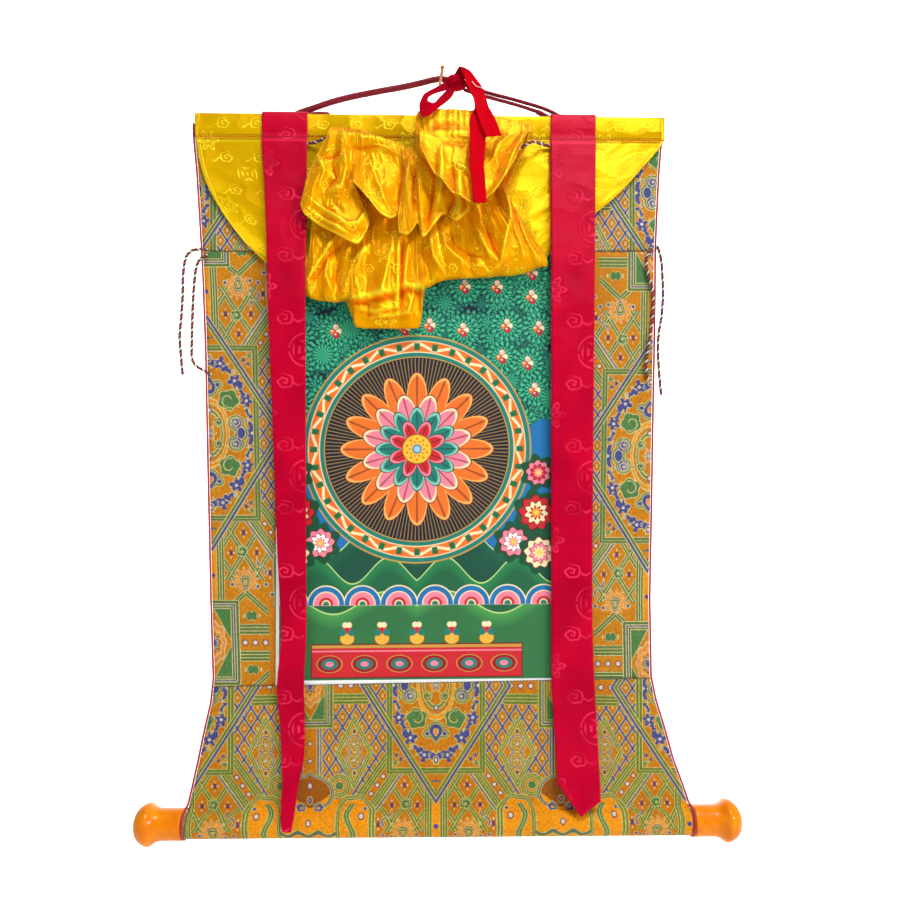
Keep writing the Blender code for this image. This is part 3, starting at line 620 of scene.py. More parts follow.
    def _clouds(self, paint: Paint, a: Number, w: Number, t: Number) -> None:
        """An ogee cloud halfway to the next medallion, a lobed cloud beside it, and a great one below.

        Args:
            paint: The material being made.
            a: Distance from the axis halfway between two medallions.
            w: Distance from the medallions' row.
            t: Distance from the row halfway between two.
        """
        fan = (a - 29.0).beyond(w - 99.0)
        fills = ((11.0, self.green), (8.8, self.green), (6.6, self.ground), (4.0, self.leaf))
        self._nest(paint, fan, fills, w.inside(112.0))
        paint.lay(a.inside(28.0) * w.outside(112.0) * w.inside(160.0), self.bright)
        side = abs(a - 44.6).beyond((127.0 - w).most(0.0)) + (a * 0.42).wave(1.0, 0.9) * 0.9
        fills = ((18.8, self.green), (16.6, self.green), (14.4, self.bright))
        self._nest(paint, side, fills, w.inside(172.0))
        stem = abs(a - 40.0 - (w * 0.16).wave(1.0, 1.2) * 3.4)
        self._nest(paint, stem, ((2.5, self.leaf),), w.band(117.0, 158.0), 0.7, ((0.4, self.cream),))
        self._beads(paint, (a - 51.0).beyond(w - 131.0, 0.8), 3.4, w.outside(0.0))
        ogee = a.beyond(w - 106.0, 1.32) - (3.6 - a).most(0.0) * 1.2
        self._nest(paint, ogee, ((24.2, self.green), (22.2, self.blue), (20.0, self.brown)), w.inside(121.0))
        paint.lay(ogee.inside(20.0) * (w + a * 0.8).outside(123.0), self.bright)
        self._beads(paint, a.beyond(w - 99.0, 0.7), 3.0, w.outside(0.0))
        self._curl(paint, a - 8.6, w - 120.6, 4.6, self.blue, self.bright)
        self._nest(paint, a.beyond(w - 113.4, 0.7), ((2.3, self.blue),), line=0.7, heart=((1.0, self.rose),))
        self._beads(paint, a.beyond(w - 137.6, 0.8), 3.0, w.outside(0.0))
        below = w - 149.0 - a.wave(0.32) * 2.6
        self._nest(paint, abs(below), ((2.4, self.green),), a.inside(27.0), heart=((0.5, self.blue),))
        great = a.beyond(t, 0.9) - t.turn_from(a).wave(10.0) * 2.2
        self._nest(paint, great, (
            (42.8, self.green), (40.6, self.blue), (38.4, self.ground), (26.4, self.green),
            (24.0, self.brown), (14.4, self.blue), (10.4, self.rose),
        ))
        self._curl(paint, a - 23.0, t - 25.0, 7.0, self.leaf, self.blue)

    def _lotus(self, paint: Paint, b: Number, w: Number) -> None:
        """A flame-petalled lotus, an S-shaped curl beside it, and a jagged leaf between green chevrons.

        Args:
            paint: The material being made.
            b: Distance from the medallions' axis.
            w: Distance from the medallions' row.
        """
        x, y = b - 32.0, w - 147.0
        chevron = (abs(x) * 0.93 - (w - 158.0)) * 0.732
        near = abs(x).inside(21.0) * w.inside(190.0) * w.outside(144.0)
        self._stripes(paint, chevron, near, 2.4, 2)
        turn = y.turn_from(x)
        size = x.beyond(y)
        petal = size - turn.wave(13.0, math.pi) * 2.0 - y * -0.1
        self._nest(paint, petal, ((10.4, self.rose),), heart=((7.8, self.cream), (7.3, self.bright)))
        heart = abs(x).beyond(y * 0.8) + abs(x) * 0.3 - turn.wave(3.0, math.pi / 2) * 1.0
        fills = ((6.0, self.plum), (4.3, self.green))
        self._nest(paint, heart, fills, heart=((2.2, self.cream), (1.5, self.rose)))
        leaf = (b - 37.0).beyond(w - 181.0, 1.7) - b.wave(1.1) * 1.6
        self._nest(paint, leaf, ((6.8, self.leaf),))
        upper = abs((b - 48.0).beyond(w - 128.0) - 4.0) + (b - w * 0.3 - 8.0).outside(0.0, 3.0) * 6.0
        lower = abs((b - 48.0).beyond(w - 137.0) - 4.4) + (w * 0.3 + 7.0 - b).outside(0.0, 3.0) * 6.0
        self._nest(paint, upper.least(lower), ((0.8, self.blue),))
        for at_b, at_w in ((58.0, 160.0), (70.0, 122.0), (19.0, 150.0), (52.0, 150.0), (44.0, 152.0)):
            self._nest(paint, (b - at_b).beyond(w - at_w), ((1.7, self.blue),), line=0.7)

    def _square(self, paint: Paint, x: Number, y: Number, side: Number, past: Number) -> None:
        """A nested square frame on an axis, and the band of stripes and beads across it.

        Args:
            paint: The material being made.
            x: Distance from the axis that it is on.
            y: Distance from its row.
            side: Distance outside its upright edge.
            past: Distance beyond the band's end.
        """
        bar = y.inside(18.4) * past.inside()
        paint.lay(bar, self.cream)
        paint.lay((y - 8.4).fold(1.65).outside(0.4, 0.5) * y.inside(18.0) * bar, self.green)
        paint.lay(y.inside(7.6) * bar, self.ground)
        self._beads(paint, (x - 30.0).fold(5.0).beyond(y), 3.5, bar)
        square = side.most(y - 41.0)
        paint.layers(square, (
            (1.2, self.cream), (0.6, self.green), (-2.2, self.cream), (-2.9, self.blue), (-4.5, self.cream),
            (-5.2, self.green), (-7.0, self.cream), (-7.6, self.ground),
        ))
        inside = square.inside(-7.6)
        corner = x * 1.9 + y
        paint.lay(corner.outside(33.0) * inside, self.cream)
        paint.lay(corner.outside(34.4) * inside, self.leaf)
        turn = y.turn_from(x * 1.6)
        flower = x.beyond(y, 0.55) - turn.wave(8.0) * 0.9
        heart = ((4.6, self.plum), (3.6, self.cream), (2.6, self.blue))
        self._nest(paint, flower, ((10.6, self.rose), (6.8, self.bright)), line=0.8, heart=heart)

    def _medallion(self, paint: Paint, b: Number, w: Number) -> None:
        """The medallion: star leaves on a jagged stem round green curls, arcs, a heart and a small flower.

        Args:
            paint: The material being made.
            b: Distance from the medallions' axis.
            w: Distance from the medallions' row.
        """
        inside = (b - 45.0).most(w - 84.0)
        paint.layers(inside, ((0.0, self.ground),))
        ring = b.beyond(w * 0.56)
        turn = (w * 0.56).turn_from(b)
        ragged = paint.noise(paint.point(b * 0.2, w * 0.2), 1.0, 3.0).math("MULTIPLY_ADD", 12.0, -6.0)
        foliage = abs(ring - 39.6) - 1.5
        for at_b, at_w, size in ((42.0, 0.0, 6.0), (36.6, 32.0, 5.6), (25.3, 52.0, 5.6), (11.5, 69.0, 5.0)):
            x, y = b - at_b, w - at_w
            foliage = foliage.least(x.beyond(y) - y.turn_from(x).wave(5.0, at_w) * 2.0 - size)
        self._nest(paint, foliage - ragged, ((0.2, self.blue),), inside.inside(-1.0), 0.7)
        for at_b, at_w in ((42.0, 0.0), (36.6, 32.0), (25.3, 52.0), (11.5, 69.0)):
            paint.layers((b - at_b).beyond(w - at_w), ((1.5, self.pale),))
        self._nest(paint, b.beyond(w - 74.0, 0.7), ((2.4, self.plum),), heart=((1.3, self.pale),))
        arcs = b.beyond(w, 0.56)
        fills = ((19.0, self.bright), (16.2, self.ground), (13.0, self.leaf), (10.8, self.ground))
        self._nest(paint, arcs, fills, w.inside(46.0))
        beads = abs(arcs - 15.0).most((1.0 - turn.wave(16.0)) * 12.0)
        paint.layers(beads, ((0.9, self.leaf),))
        self._curl(paint, b - 19.0, w - 33.0, 9.6, self.leaf, self.green)
        heart = b.beyond(w - 45.0) - (4.0 - b).most(0.0) * (w - 45.0).outside(0.0, 6.0) * 1.0
        heart = heart.least((b - 8.6).beyond(w - 48.0) + 4.4)
        fills = ((8.8, self.green), (6.6, self.blue))
        self._nest(paint, heart, fills, heart=((2.0, self.cream), (1.2, self.rose)))
        twin = (b - 26.0).beyond(w - 10.0).least((b - 31.0).beyond(w, 0.7) + 1.6)
        self._nest(paint, twin, ((7.8, self.green), (5.6, self.blue)))
        self._curl(paint, b - 25.4, w - 10.6, 3.8, self.blue, self.pale)
        self._curl(paint, b - 8.4, w - 11.0, 4.0, self.green, self.blue)
        self._beads(paint, b.beyond(w - 22.6, 0.8), 2.8, w.outside(0.0))
        petal = b.beyond(w, 0.8) - w.turn_from(b).wave(6.0) * 1.2
        heart = ((3.6, self.cream), (2.9, self.blue), (1.2, self.pale))
        self._nest(paint, petal, ((5.0, self.rose),), heart=heart)

    def _rhombus(self, paint: Paint, b: Number, w: Number, frame: Number) -> None:
        """The long frame, the rhombus that crosses over it, and the sprigs in the corners between them.

        Args:
            paint: The material being made.
            b: Distance from the medallions' axis.
            w: Distance from the medallions' row.
            frame: Distance outside the long frame.
        """
        for at_b, at_w, colour in ((40.0, 77.0, self.leaf), (39.0, 69.0, self.plum), (34.4, 73.0, self.plum)):
            x, y = b - at_b, w - at_w
            sprig = x.beyond(y) - y.turn_from(x).wave(5.0, at_b) * 1.0
            self._nest(paint, sprig, ((2.2, colour),))
        self._stripes(paint, frame, frame.inside(6.0), 2.8, 2)
        edge = (b * 1.573 + w - 113.0) * 0.5365
        self._nest(paint, abs(edge + 1.9), ((1.3, self.green),))
        self._nest(paint, abs(edge - 1.3), ((1.3, self.blue),))
        point = edge.inside(-4.0) * frame.outside(4.0)
        paint.layers(b.beyond((w - 94.6).fold(5.0)), ((1.4, self.blue),), point)
        paint.layers((b - 3.4).beyond(w - 95.0), ((1.4, self.leaf),), point)

    def _threads(self, paint: Paint, across: Number, along: Number) -> None:
        """Rows of fine weft threads that show as speckles, with a little unevenness, and their bump.

        Args:
            paint: The material being made.
            across: The cloth's coordinate across.
            along: The cloth's coordinate along.
        """
        row = along.wave(2 * math.pi / (1.5 * self.thread))
        dot = (across + along.math("SNAP", 1.5 * self.thread) * 0.5).wave(2 * math.pi / (1.6 * self.thread))
        weave = row * 0.5 + dot * 0.5
        at = paint.point(across * 0.001, along * 0.001)
        _, speckle = paint.cells(at, 820.0, 0.7)
        cloud = paint.noise(at, 26.0, 3.0)
        light = weave.math("MULTIPLY_ADD", 0.12, 0.55 * self.value) + speckle * 0.34
        paint.shade(cloud.math("MULTIPLY_ADD", 0.3, light))
        paint.bump(weave, 0.35, 0.0004)
        paint.roughness(weave.math("MULTIPLY_ADD", -0.08, 0.6))
        paint.set(Sheen_Weight=0.02, Sheen_Roughness=0.4, Specular_IOR_Level=0.14)


@dataclass(frozen=True)
class SatinDamask:
    """Shiny satin with tone-on-tone figures: roundels of fret, clouds and petals, on a half-drop repeat.

    `ring` is the roundels' radius, `pitch` the repeat across and `drop` half of the repeat down, all in
    millimetres.
    """

    name: str
    base: Colour
    deep: Colour
    # The figures' colour, also laid as painted highlights on the folds' crests and below the stitching
    figure: Colour
    # The colour of the painted shade in the folds' troughs and in the stitched grooves, and of the hem's
    # stitches
    shade: Colour
    # The colour of the painted warm glow of light bounced between the front's folds
    warm: Colour
    ring: float = 9.0
    ringed: bool = True
    pitch: float = 62.0
    drop: float = 54.0
    gloss: float = 0.28
    figure_gloss: float = 0.45
    wrinkle: float = 0.5
    contrast: float = 1.0
    metal: float = 0.0

    def material(self) -> Finish:
        """The satin's material, from the cloth's own coordinates in millimetres, with painted shade and
        highlights on its marked folds.

        Returns:
            The material.
        """
        paint = Paint(self.name)
        across, along = paint.across_and_along()
        at = paint.point(across * 0.001, along * 0.001)
        mask = self._figures(across, along).most(self._sprays(across, along))
        cloud = paint.noise(at, 16.0, 2.0)
        hollow = paint.marked("hollow")
        paint.start(self.base)
        paint.lay(cloud.outside(0.5, 0.3) * 0.6, self.deep)
        catch = paint.noise(at, 30.0, 2.0).outside(0.5, 0.16)
        # Painted glow of light bounced between the folds, laid over the cover's front
        paint.lay(paint.marked("warm") * 0.7, self.warm)
        paint.lay(mask * (catch * (0.75 * self.contrast) + 0.15), self.figure)
        # Painted highlight: the crests of the folds take the figures' pale colour
        paint.lay(paint.marked("ridge") * 0.75, self.figure)
        # Painted shade: the troughs of the folds and the gathers at the string take the shade colour
        paint.lay(hollow * 0.85, self.shade)
        edge = paint.marked("hem")
        # A lighter band along the hem where it is folded double, then painted shade along the hem's inner edge
        paint.lay(edge.band(0.3, 4.0, 0.5) * 0.35, self.figure)
        paint.lay(abs(edge - 4.7).inside(0.35, 0.5) * 0.7, self.shade)
        dash = abs(edge - 3.4).inside(0.3, 0.4) * (across + along).wave(2 * math.pi / 2.6).outside(-0.3, 0.6)
        paint.lay(dash * 0.8, self.shade)
        # Signed height over the heading's stitching, carried as 30 more than it is
        tuck = paint.marked("tuck") - 30.0
        groove = abs(tuck.fold(1.9)).inside(0.5, 0.6) * abs(tuck).inside(2.6, 0.4)
        # Painted shade in the grooves of the stitching, and a painted highlight on the fold just below them
        paint.lay(groove * 0.75, self.shade)
        paint.lay(abs(tuck + 4.2).inside(0.9, 1.2) * 0.6, self.figure)
        weft = along.wave(2 * math.pi / 0.8)
        slub = paint.noise(paint.point(across * 0.004, along * 0.16), 4.0, 2.0)
        paint.shade(slub.math("MULTIPLY_ADD", 0.2, 0.9))
        crumple, _ = paint.cells(at, 34.0)
        fine = paint.noise(at, 70.0, 3.0)
        rolled = edge.band(0.0, 4.2, 0.8) * 0.3 - groove * 0.8
        height = weft * 0.03 + mask * 0.3 + fine * self.wrinkle + crumple * (4.0 * self.wrinkle) + rolled
        paint.bump(height, 0.9, 0.0012)
        paint.roughness(mask.math("MULTIPLY_ADD", self.figure_gloss - self.gloss, self.gloss))
        paint.set(Sheen_Weight=0.05, Sheen_Roughness=0.3, Specular_IOR_Level=0.6, Anisotropic=0.5)
        paint.set(Metallic=self.metal)
        paint.shader.inputs["Specular Tint"].default_value = (*self.figure, 1.0)
        return paint.done()

    def _figures(self, across: Number, along: Number) -> Number:
        """Squared frets, in a broken ring on the ribbons, and flowers with a ring of petals, turn about.

        Args:
            across: The cloth's coordinate across.
            along: The cloth's coordinate along.

        Returns:
            Their mask.
        """
        x, y = across.fold(self.pitch / 2), along.fold(self.drop)
        size = x.beyond(y)
        stroke = self.ring * 0.085
        fret = x.most(y * 0.8).fold(self.ring * 0.19).inside(stroke, 0.6) * size.inside(self.ring * 0.8, 0.8)
        cut = abs(x - y).outside(self.ring * 0.2, 0.8).most(y.inside(self.ring * 0.2, 0.6))
        figure = fret * cut
        if self.ringed:
            ring = abs(size - self.ring).inside(0.8, 0.7) * (x.least(y) - 1.6).outside(0.0, 0.5)
            figure = figure.most(ring)
        x, y = self.pitch / 2 - x, self.drop - y
        petal = x.beyond(y) - y.turn_from(x).wave(6.0) * (self.ring * 0.2)
        flower = abs(petal - self.ring * 0.62).inside(stroke, 0.6)
        flower = flower.most(abs(petal - self.ring * 0.34).inside(stroke * 0.7, 0.6))
        return figure.most(flower).most(x.beyond(y).inside(self.ring * 0.12, 0.6))

    def _sprays(self, across: Number, along: Number) -> Number:
        """Curling clouds between the figures: each a spiral with a lobed edge and a trailing tail.

        Args:
            across: The cloth's coordinate across.
            along: The cloth's coordinate along.

        Returns:
            Their mask.
        """
        quarter, half = self.pitch / 4, self.drop / 2
        x = (across - quarter).math("WRAP", quarter, -quarter)
        y = (along - half).math("WRAP", half, -half)
        turn = y.turn_from(x)
        size = x.beyond(y, 1.25) - turn.wave(5.0) * 0.5
        pitch = self.ring * 0.36
        spiral = (size - turn * (pitch / (2 * math.pi))).fold(pitch / 2).inside(self.ring * 0.07, 0.6)
        tail = abs(y - x.wave(0.45) * 1.6 - 2.0).inside(self.ring * 0.07, 0.6)
        tail = tail * x.band(-quarter * 0.9, 0.0, 1.0)
        return (spiral * size.inside(self.ring * 0.6, 0.8)).most(tail * size.outside(self.ring * 0.55, 0.8))


@dataclass(frozen=True)
class Print:
    """A printed picture of a generic design: a lotus wheel on a dark rayed ground, leaves and hills."""

    name: str = "printed_cloth"
    wide: float = 279.0
    tall: float = 431.0
    border: float = 3.2
    navy: Colour = dye(16, 26, 44)
    gold: Colour = dye(196, 150, 60)
    teal: Colour = dye(24, 122, 108)
    leaf: Colour = dye(22, 104, 62)
    orange: Colour = dye(232, 112, 34)
    red: Colour = dye(200, 30, 40)
    pink: Colour = dye(240, 130, 150)
    cream: Colour = dye(246, 226, 176)
    sky: Colour = dye(24, 110, 170)
    rose: Colour = dye(232, 190, 160)
    paper: Colour = dye(246, 246, 242)
    canvas_back: Colour = dye(160, 154, 138)

    def material(self) -> Finish:
        """The print's material, from millimetres right of the middle and below the top edge.

        Returns:
            The material.
        """
        paint = Paint(self.name)
        x, y = paint.across_and_along()
        side = abs(x)
        at = paint.point(x * 0.001, y * 0.001)
        paint.start(self.sky)
        paint.stage(self._leaves, x, y)
        paint.stage(self._hills, side, y)
        paint.stage(self._wheel, x, y)
        paint.stage(self._flowers, side, y)
        paint.stage(self._base, side, y)
        edge = (side - self.wide / 2).most(abs(y - self.tall / 2) - self.tall / 2)
        paint.lay(edge.outside(-self.border, 0.5), self.paper)
        canvas = x.wave(2 * math.pi / 0.9) * y.wave(2 * math.pi / 0.9)
        cloud = paint.noise(at, 40.0, 3.0)
        paint.lay(paint.wall_side() * 0.9, self.canvas_back)
        paint.shade(canvas.math("MULTIPLY_ADD", 0.03, 0.9) + cloud * 0.2)
        paint.bump(canvas, 0.2, 0.0003)
        paint.set(Roughness=0.62, Specular_IOR_Level=0.3)
        return paint.done()

    def _petals(self, paint: Paint, size: Number, turn: Number, count: int, inner: float, outer: float,
                fill: Colour, line: Colour, tip: Colour) -> None:
        """A ring of pointed petals: the edge swings between two radii as the fold of the turn.

        Args:
            paint: The material being made.
            size: Distance from the ring's middle.
            turn: Angle about it.
            count: How many petals.
            inner: Radius between two petals.
            outer: Radius at their points.
            fill: Their colour.
            line: Their outline's colour.
            tip: Their rim's colour.
        """
        half = math.pi / count
        point = turn.fold(half) * (1.0 / half)
        reach = size + point * point * (outer - inner)
        paint.lay(reach.inside(outer + 1.2, 0.7), line)
        paint.lay(reach.inside(outer, 0.7), tip)
        paint.lay(reach.inside(outer - 3.2, 2.6), fill)
        vein = point.inside(0.08, 0.06) * reach.inside(outer - 2.0, 0.7)
        paint.lay(vein * 0.7, line)

    def _leaves(self, paint: Paint, x: Number, y: Number) -> None:
        """Whorls of pointed leaves round clusters of three fruit, over the upper part and down the sides.

        Args:
            paint: The material being made.
            x: Distance across.
            y: Distance down.
        """
        clump = paint.noise(paint.point(x * 0.001, y * 0.001), 9.0, 3.0)
        crown = (clump * 260.0 - y).outside(-80.0, 3.0)
        paint.lay(crown, dye(8, 34, 50))
        for scale, shift, count, radius, fill, light in (
            (62.0, 0.3, 9, 0.62, dye(12, 88, 80), dye(26, 128, 104)),
            (48.0, 0.1, 11, 0.60, dye(16, 112, 92), dye(52, 168, 128)),
            (30.0, 0.0, 16, 0.52, dye(18, 122, 92), dye(64, 186, 138)),
        ):
            across, down, _ = paint.nearest(x * 0.001 + shift, y * 0.001, scale)
            size = across.beyond(down)
            turn = down.turn_from(across)
            for share, phase in ((1.0, 0.0), (0.66, 0.5)):
                point = (turn + phase * math.pi / count).fold(math.pi / count) * (count / math.pi)
                reach = size + point * point * (radius * share * 0.42)
                limit = radius * share
                paint.lay(crown * reach.inside(limit + 0.035, 0.02), dye(6, 30, 44))
                paint.lay(crown * reach.inside(limit, 0.02), fill)
                paint.lay(crown * reach.inside(limit - 0.05, 0.04) * point.inside(0.45, 0.1), light)
        across, down, own = paint.nearest(x * 0.001, y * 0.001, 30.0)
        for at_x, at_y, colour in (
            (-0.09, 0.02, self.orange), (0.09, 0.0, self.cream),
            (0.0, -0.13, self.rose), (0.02, 0.12, self.red),
        ):
            fruit = (across - at_x).beyond(down - at_y)
            ripe = crown * own.outside(0.4, 0.02)
            for limit, fill in ((0.1, dye(60, 24, 30)), (0.085, colour)):
                paint.lay(ripe * fruit.inside(limit, 0.02), fill)
            glint = (across - at_x + 0.03).beyond(down - at_y + 0.03)
            paint.lay(ripe * glint.inside(0.03, 0.03) * 0.7, self.paper)

    def _hills(self, paint: Paint, side: Number, y: Number) -> None:
        """Green hills with pale edges over the lower part, and a bank of rolling blue and pink waves.

        Args:
            paint: The material being made.
            side: Distance from the middle.
            y: Distance down.
        """
        for height, lift, beat, fill in (
            (286.0, 16.0, 44.0, dye(20, 92, 66)), (318.0, 13.0, 36.0, dye(36, 128, 72)),
            (350.0, 11.0, 52.0, dye(70, 152, 74)),
        ):
            ridge = y - height + (side * (math.pi / beat)).wave(1.0, height) * lift
            paint.lay(ridge.outside(0.0), dye(190, 214, 130))
            paint.lay(ridge.outside(1.4), fill)
            paint.lay(ridge.outside(9.0, 14.0) * 0.6, dye(12, 66, 52))
        x_wave = (side - 18.0).fold(18.0)
        swell = x_wave.beyond(y - 352.0)
        paint.discs(swell, (
            (19.0, self.cream), (17.8, self.sky), (13.0, self.cream), (12.0, self.pink), (7.0, self.red),
            (4.4, self.cream), (3.2, self.teal),
        ), y.inside(353.0))

    def _wheel(self, paint: Paint, x: Number, y: Number) -> None:
        """A dark disc with fine gold rays, in a scrolled band, and nested rings of lotus petals on it.

        Args:
            paint: The material being made.
            x: Distance across.
            y: Distance down.
        """
        down = y - 198.0
        size = x.beyond(down)
        turn = down.turn_from(x)
        paint.discs(size, ((114.0, self.gold), (112.6, self.teal), (108.4, self.cream), (107.6, self.orange)))
        scroll = abs((turn * 18.0).wave() * 2.8 + size - 102.5)
        paint.lay(scroll.inside(1.5), self.cream)
        leafy = (turn * 36.0).wave().outside(0.55, 0.3) * size.band(99.0, 106.0)
        paint.lay(leafy, self.leaf)
        paint.discs(size, ((97.4, self.cream), (96.4, self.teal), (92.4, self.gold), (91.4, self.navy)))
        rays = turn.wave(150.0).outside(0.72, 0.3)
        paint.lay(rays * size.inside(90.6) * 0.62, self.gold)
        for shift, count, inner, outer, fill, line, tip in (
            (0.0, 16, 52.0, 76.0, self.orange, dye(120, 36, 16), dye(252, 178, 92)),
            (math.pi / 12, 12, 36.0, 55.0, self.pink, dye(140, 20, 40), self.cream),
            (0.0, 12, 27.0, 41.0, self.teal, dye(8, 50, 60), dye(130, 206, 180)),
            (math.pi / 8, 8, 14.0, 29.0, self.red, dye(90, 10, 14), self.pink),
        ):
            turned = turn + shift if shift else turn
            self._petals(paint, size, turned, count, inner, outer, fill, line, tip)
        paint.discs(size, ((15.2, dye(120, 60, 10)), (14.2, dye(246, 190, 50))))
        grain = (turn * 10.0).wave() * (size * 0.9).wave()
        paint.lay(grain.outside(0.4, 0.3) * size.inside(13.4), self.orange)
        paint.discs(size, ((4.6, self.sky), (3.2, dye(150, 200, 230))))

    def _flowers(self, paint: Paint, side: Number, y: Number) -> None:
        """Red, pink and white peonies down both sides.

        Args:
            paint: The material being made.
            side: Distance from the middle.
            y: Distance down.
        """
        for at_x, at_y, radius, rim, heart in (
            (119.0, 262.0, 17.0, self.red, self.cream), (96.0, 291.0, 14.0, self.pink, self.paper),
            (122.0, 302.0, 15.0, self.cream, self.pink), (121.0, 222.0, 12.0, self.pink, self.red),
        ):
            across, down = side - at_x, y - at_y
            size = across.beyond(down)
            turn = down.turn_from(across)
            paint.lay((size - turn.wave(7.0) * 2.4).inside(radius + 5.0, 1.0), dye(14, 78, 48))
            for share, fill in ((1.0, dye(90, 10, 24)), (0.93, rim), (0.66, dye(120, 16, 30)), (0.6, heart),
                                (0.36, rim), (0.2, dye(250, 200, 70))):
                ruffle = size - turn.wave(9.0, share * 9.0) * (radius * 0.09)
                paint.lay(ruffle.inside(radius * share), fill)

    def _base(self, paint: Paint, side: Number, y: Number) -> None:
        """A red bench with gold lines and cloud panels, and a row of bowls of jewels on it.

        Args:
            paint: The material being made.
            side: Distance from the middle.
            y: Distance down.
        """
        body = (side - 104.0).most(abs(y - 408.0) - 16.0)
        paint.discs(body, ((1.0, dye(90, 12, 16)), (0.0, self.red)))
        panel = side.fold(17.3)
        shape = (17.3 - panel).beyond(y - 411.0, 1.5)
        fills = ((13.0, self.gold), (12.0, dye(150, 18, 30)), (8.0, self.teal), (4.0, self.pink))
        paint.discs(shape, fills, body.inside(-2.0))
        paint.lay(y.band(392.4, 395.2) * side.inside(104.0), self.gold)
        paint.lay(y.band(397.6, 399.0) * side.inside(104.0), self.pink)
        bowl = side.fold(17.3)
        cup = bowl.beyond(y - 386.0, 1.2)
        paint.discs(cup, ((8.0, dye(120, 70, 14)), (7.0, dye(240, 176, 60))), side.inside(95.0))
        for lift, across, radius, fill in ((-9.0, 0.0, 4.2, self.red), (-6.0, 4.4, 3.4, self.teal),
                                           (-13.6, 2.0, 2.8, self.cream)):
            jewel = (bowl - across).beyond(y - 386.0 - lift)
            paint.lay(jewel.inside(radius) * side.inside(95.0), fill)


@dataclass(frozen=True)
class CottonTape:
    """Matt red tape with fine ribs along it, a little uneven in tone, and painted shade in a deeper crimson
    where it is marked.
    """

    name: str
    base: Colour
    # Laid unevenly at random, and as painted shade where the piece is marked
    deep: Colour
    rib: float = 0.9

    def material(self) -> Finish:
        """The tape's material, from its own coordinates in millimetres.

        Returns:
            The material.
        """
        paint = Paint(self.name)
        across, along = paint.across_and_along()
        ribs = across.wave(2 * math.pi / self.rib)
        weft = along.wave(2 * math.pi / 0.7)
        paint.start(self.base)
        cloud = paint.noise(paint.point(across * 0.001, along * 0.001), 60.0, 3.0)
        # Uneven tone from a noise, and painted shade in the deeper crimson where the piece is marked
        paint.lay(cloud.outside(0.5, 0.5) * 0.3 + paint.marked("drawn") * 0.9, self.deep)
        weave = ribs * 0.6 + weft * 0.4
        paint.shade(weave.math("MULTIPLY_ADD", 0.05, 0.95))
        paint.bump(weave, 0.3, 0.0003)
        paint.set(Roughness=0.85, Specular_IOR_Level=0.03)
        return paint.done()


@dataclass(frozen=True)
class BraidedCord:
    """A soft round cord with a fine braid. Its coordinates are turns round it and metres along it."""

    name: str
    base: Colour
    deep: Colour
    strands: int = 10
    pitch: float = 7.0

    def material(self) -> Finish:
        """The cord's material.

        Returns:
            The material.
        """
        paint = Paint(self.name)
        turns, along = paint.across_and_along(1.0)
        climb = along * (1000.0 / self.pitch)
        right = ((turns + climb) * (self.strands * math.pi)).wave()
        left = ((turns - climb) * (self.strands * math.pi)).wave()
        braid = right.most(left)
        paint.start(self.base)
        paint.lay(braid.inside(0.35, 0.7) * 0.5, self.deep)
        paint.bump(braid, 0.35, 0.0004)
        paint.set(Roughness=0.6, Sheen_Weight=0.05, Specular_IOR_Level=0.25)
        return paint.done()


@dataclass(frozen=True)
class TwistedCord:
    """A thin cord of twisted strands of three colours, on the strands that its mesh has."""

    name: str
    dark: Colour
    pale: Colour
    warm: Colour
    strands: int
    pitch: float

    def material(self) -> Finish:
        """The cord's material: a strand's number is the whole part of where a turn falls on the twist.

        Returns:
            The material.
        """
        paint = Paint(self.name)
        turns, along = paint.across_and_along(1.0)
        twist = (turns - along * (1000.0 / self.pitch)) * float(self.strands) + 0.5
        strand = twist.math("FLOOR").math("FLOORED_MODULO", float(self.strands))
        paint.start(self.dark)
        paint.lay(strand.band(0.6, 1.4, 0.1), self.pale)
        paint.lay(strand.band(2.6, 3.4, 0.1), self.warm)
        fibres = ((twist * 5.0 + along * 900.0) * math.pi).wave()
        paint.shade(fibres.math("MULTIPLY_ADD", 0.12, 0.88))
        paint.bump(fibres, 0.3, 0.0002)
        paint.set(Roughness=0.75, Sheen_Weight=0.3, Specular_IOR_Level=0.25)
        return paint.done()


@dataclass(frozen=True)
class Lacquer:
    """Glossy amber lacquer over turned wood, deeper where it gathers, with faint turning marks."""

    name: str = "orange_lacquer"
    base: Colour = dye(238, 142, 0)
    deep: Colour = dye(210, 92, 0)

    def material(self) -> Finish:
        """The lacquer's material, on the piece's own coordinates: turns round it and metres along it.

        Returns:
            The material.
        """
        paint = Paint(self.name)
        _, along = paint.across_and_along(1.0)
        cloud = paint.noise(paint.place(), 60.0, 3.0)
        rings = (along * 2400.0 + cloud * 3.0).wave()
        paint.start(self.base)
        paint.lay(cloud.outside(0.46, 0.3) * 0.55, self.deep)
        paint.lay(rings.outside(0.6, 0.8) * 0.18, self.deep)
        paint.bump(rings + cloud * 3.0, 0.06, 0.0006)
        paint.set(Roughness=0.34, Coat_Weight=0.2, Coat_Roughness=0.06, Specular_IOR_Level=0.1)
        paint.set(Subsurface_Weight=0.08, Subsurface_Scale=0.004)
        return paint.done()


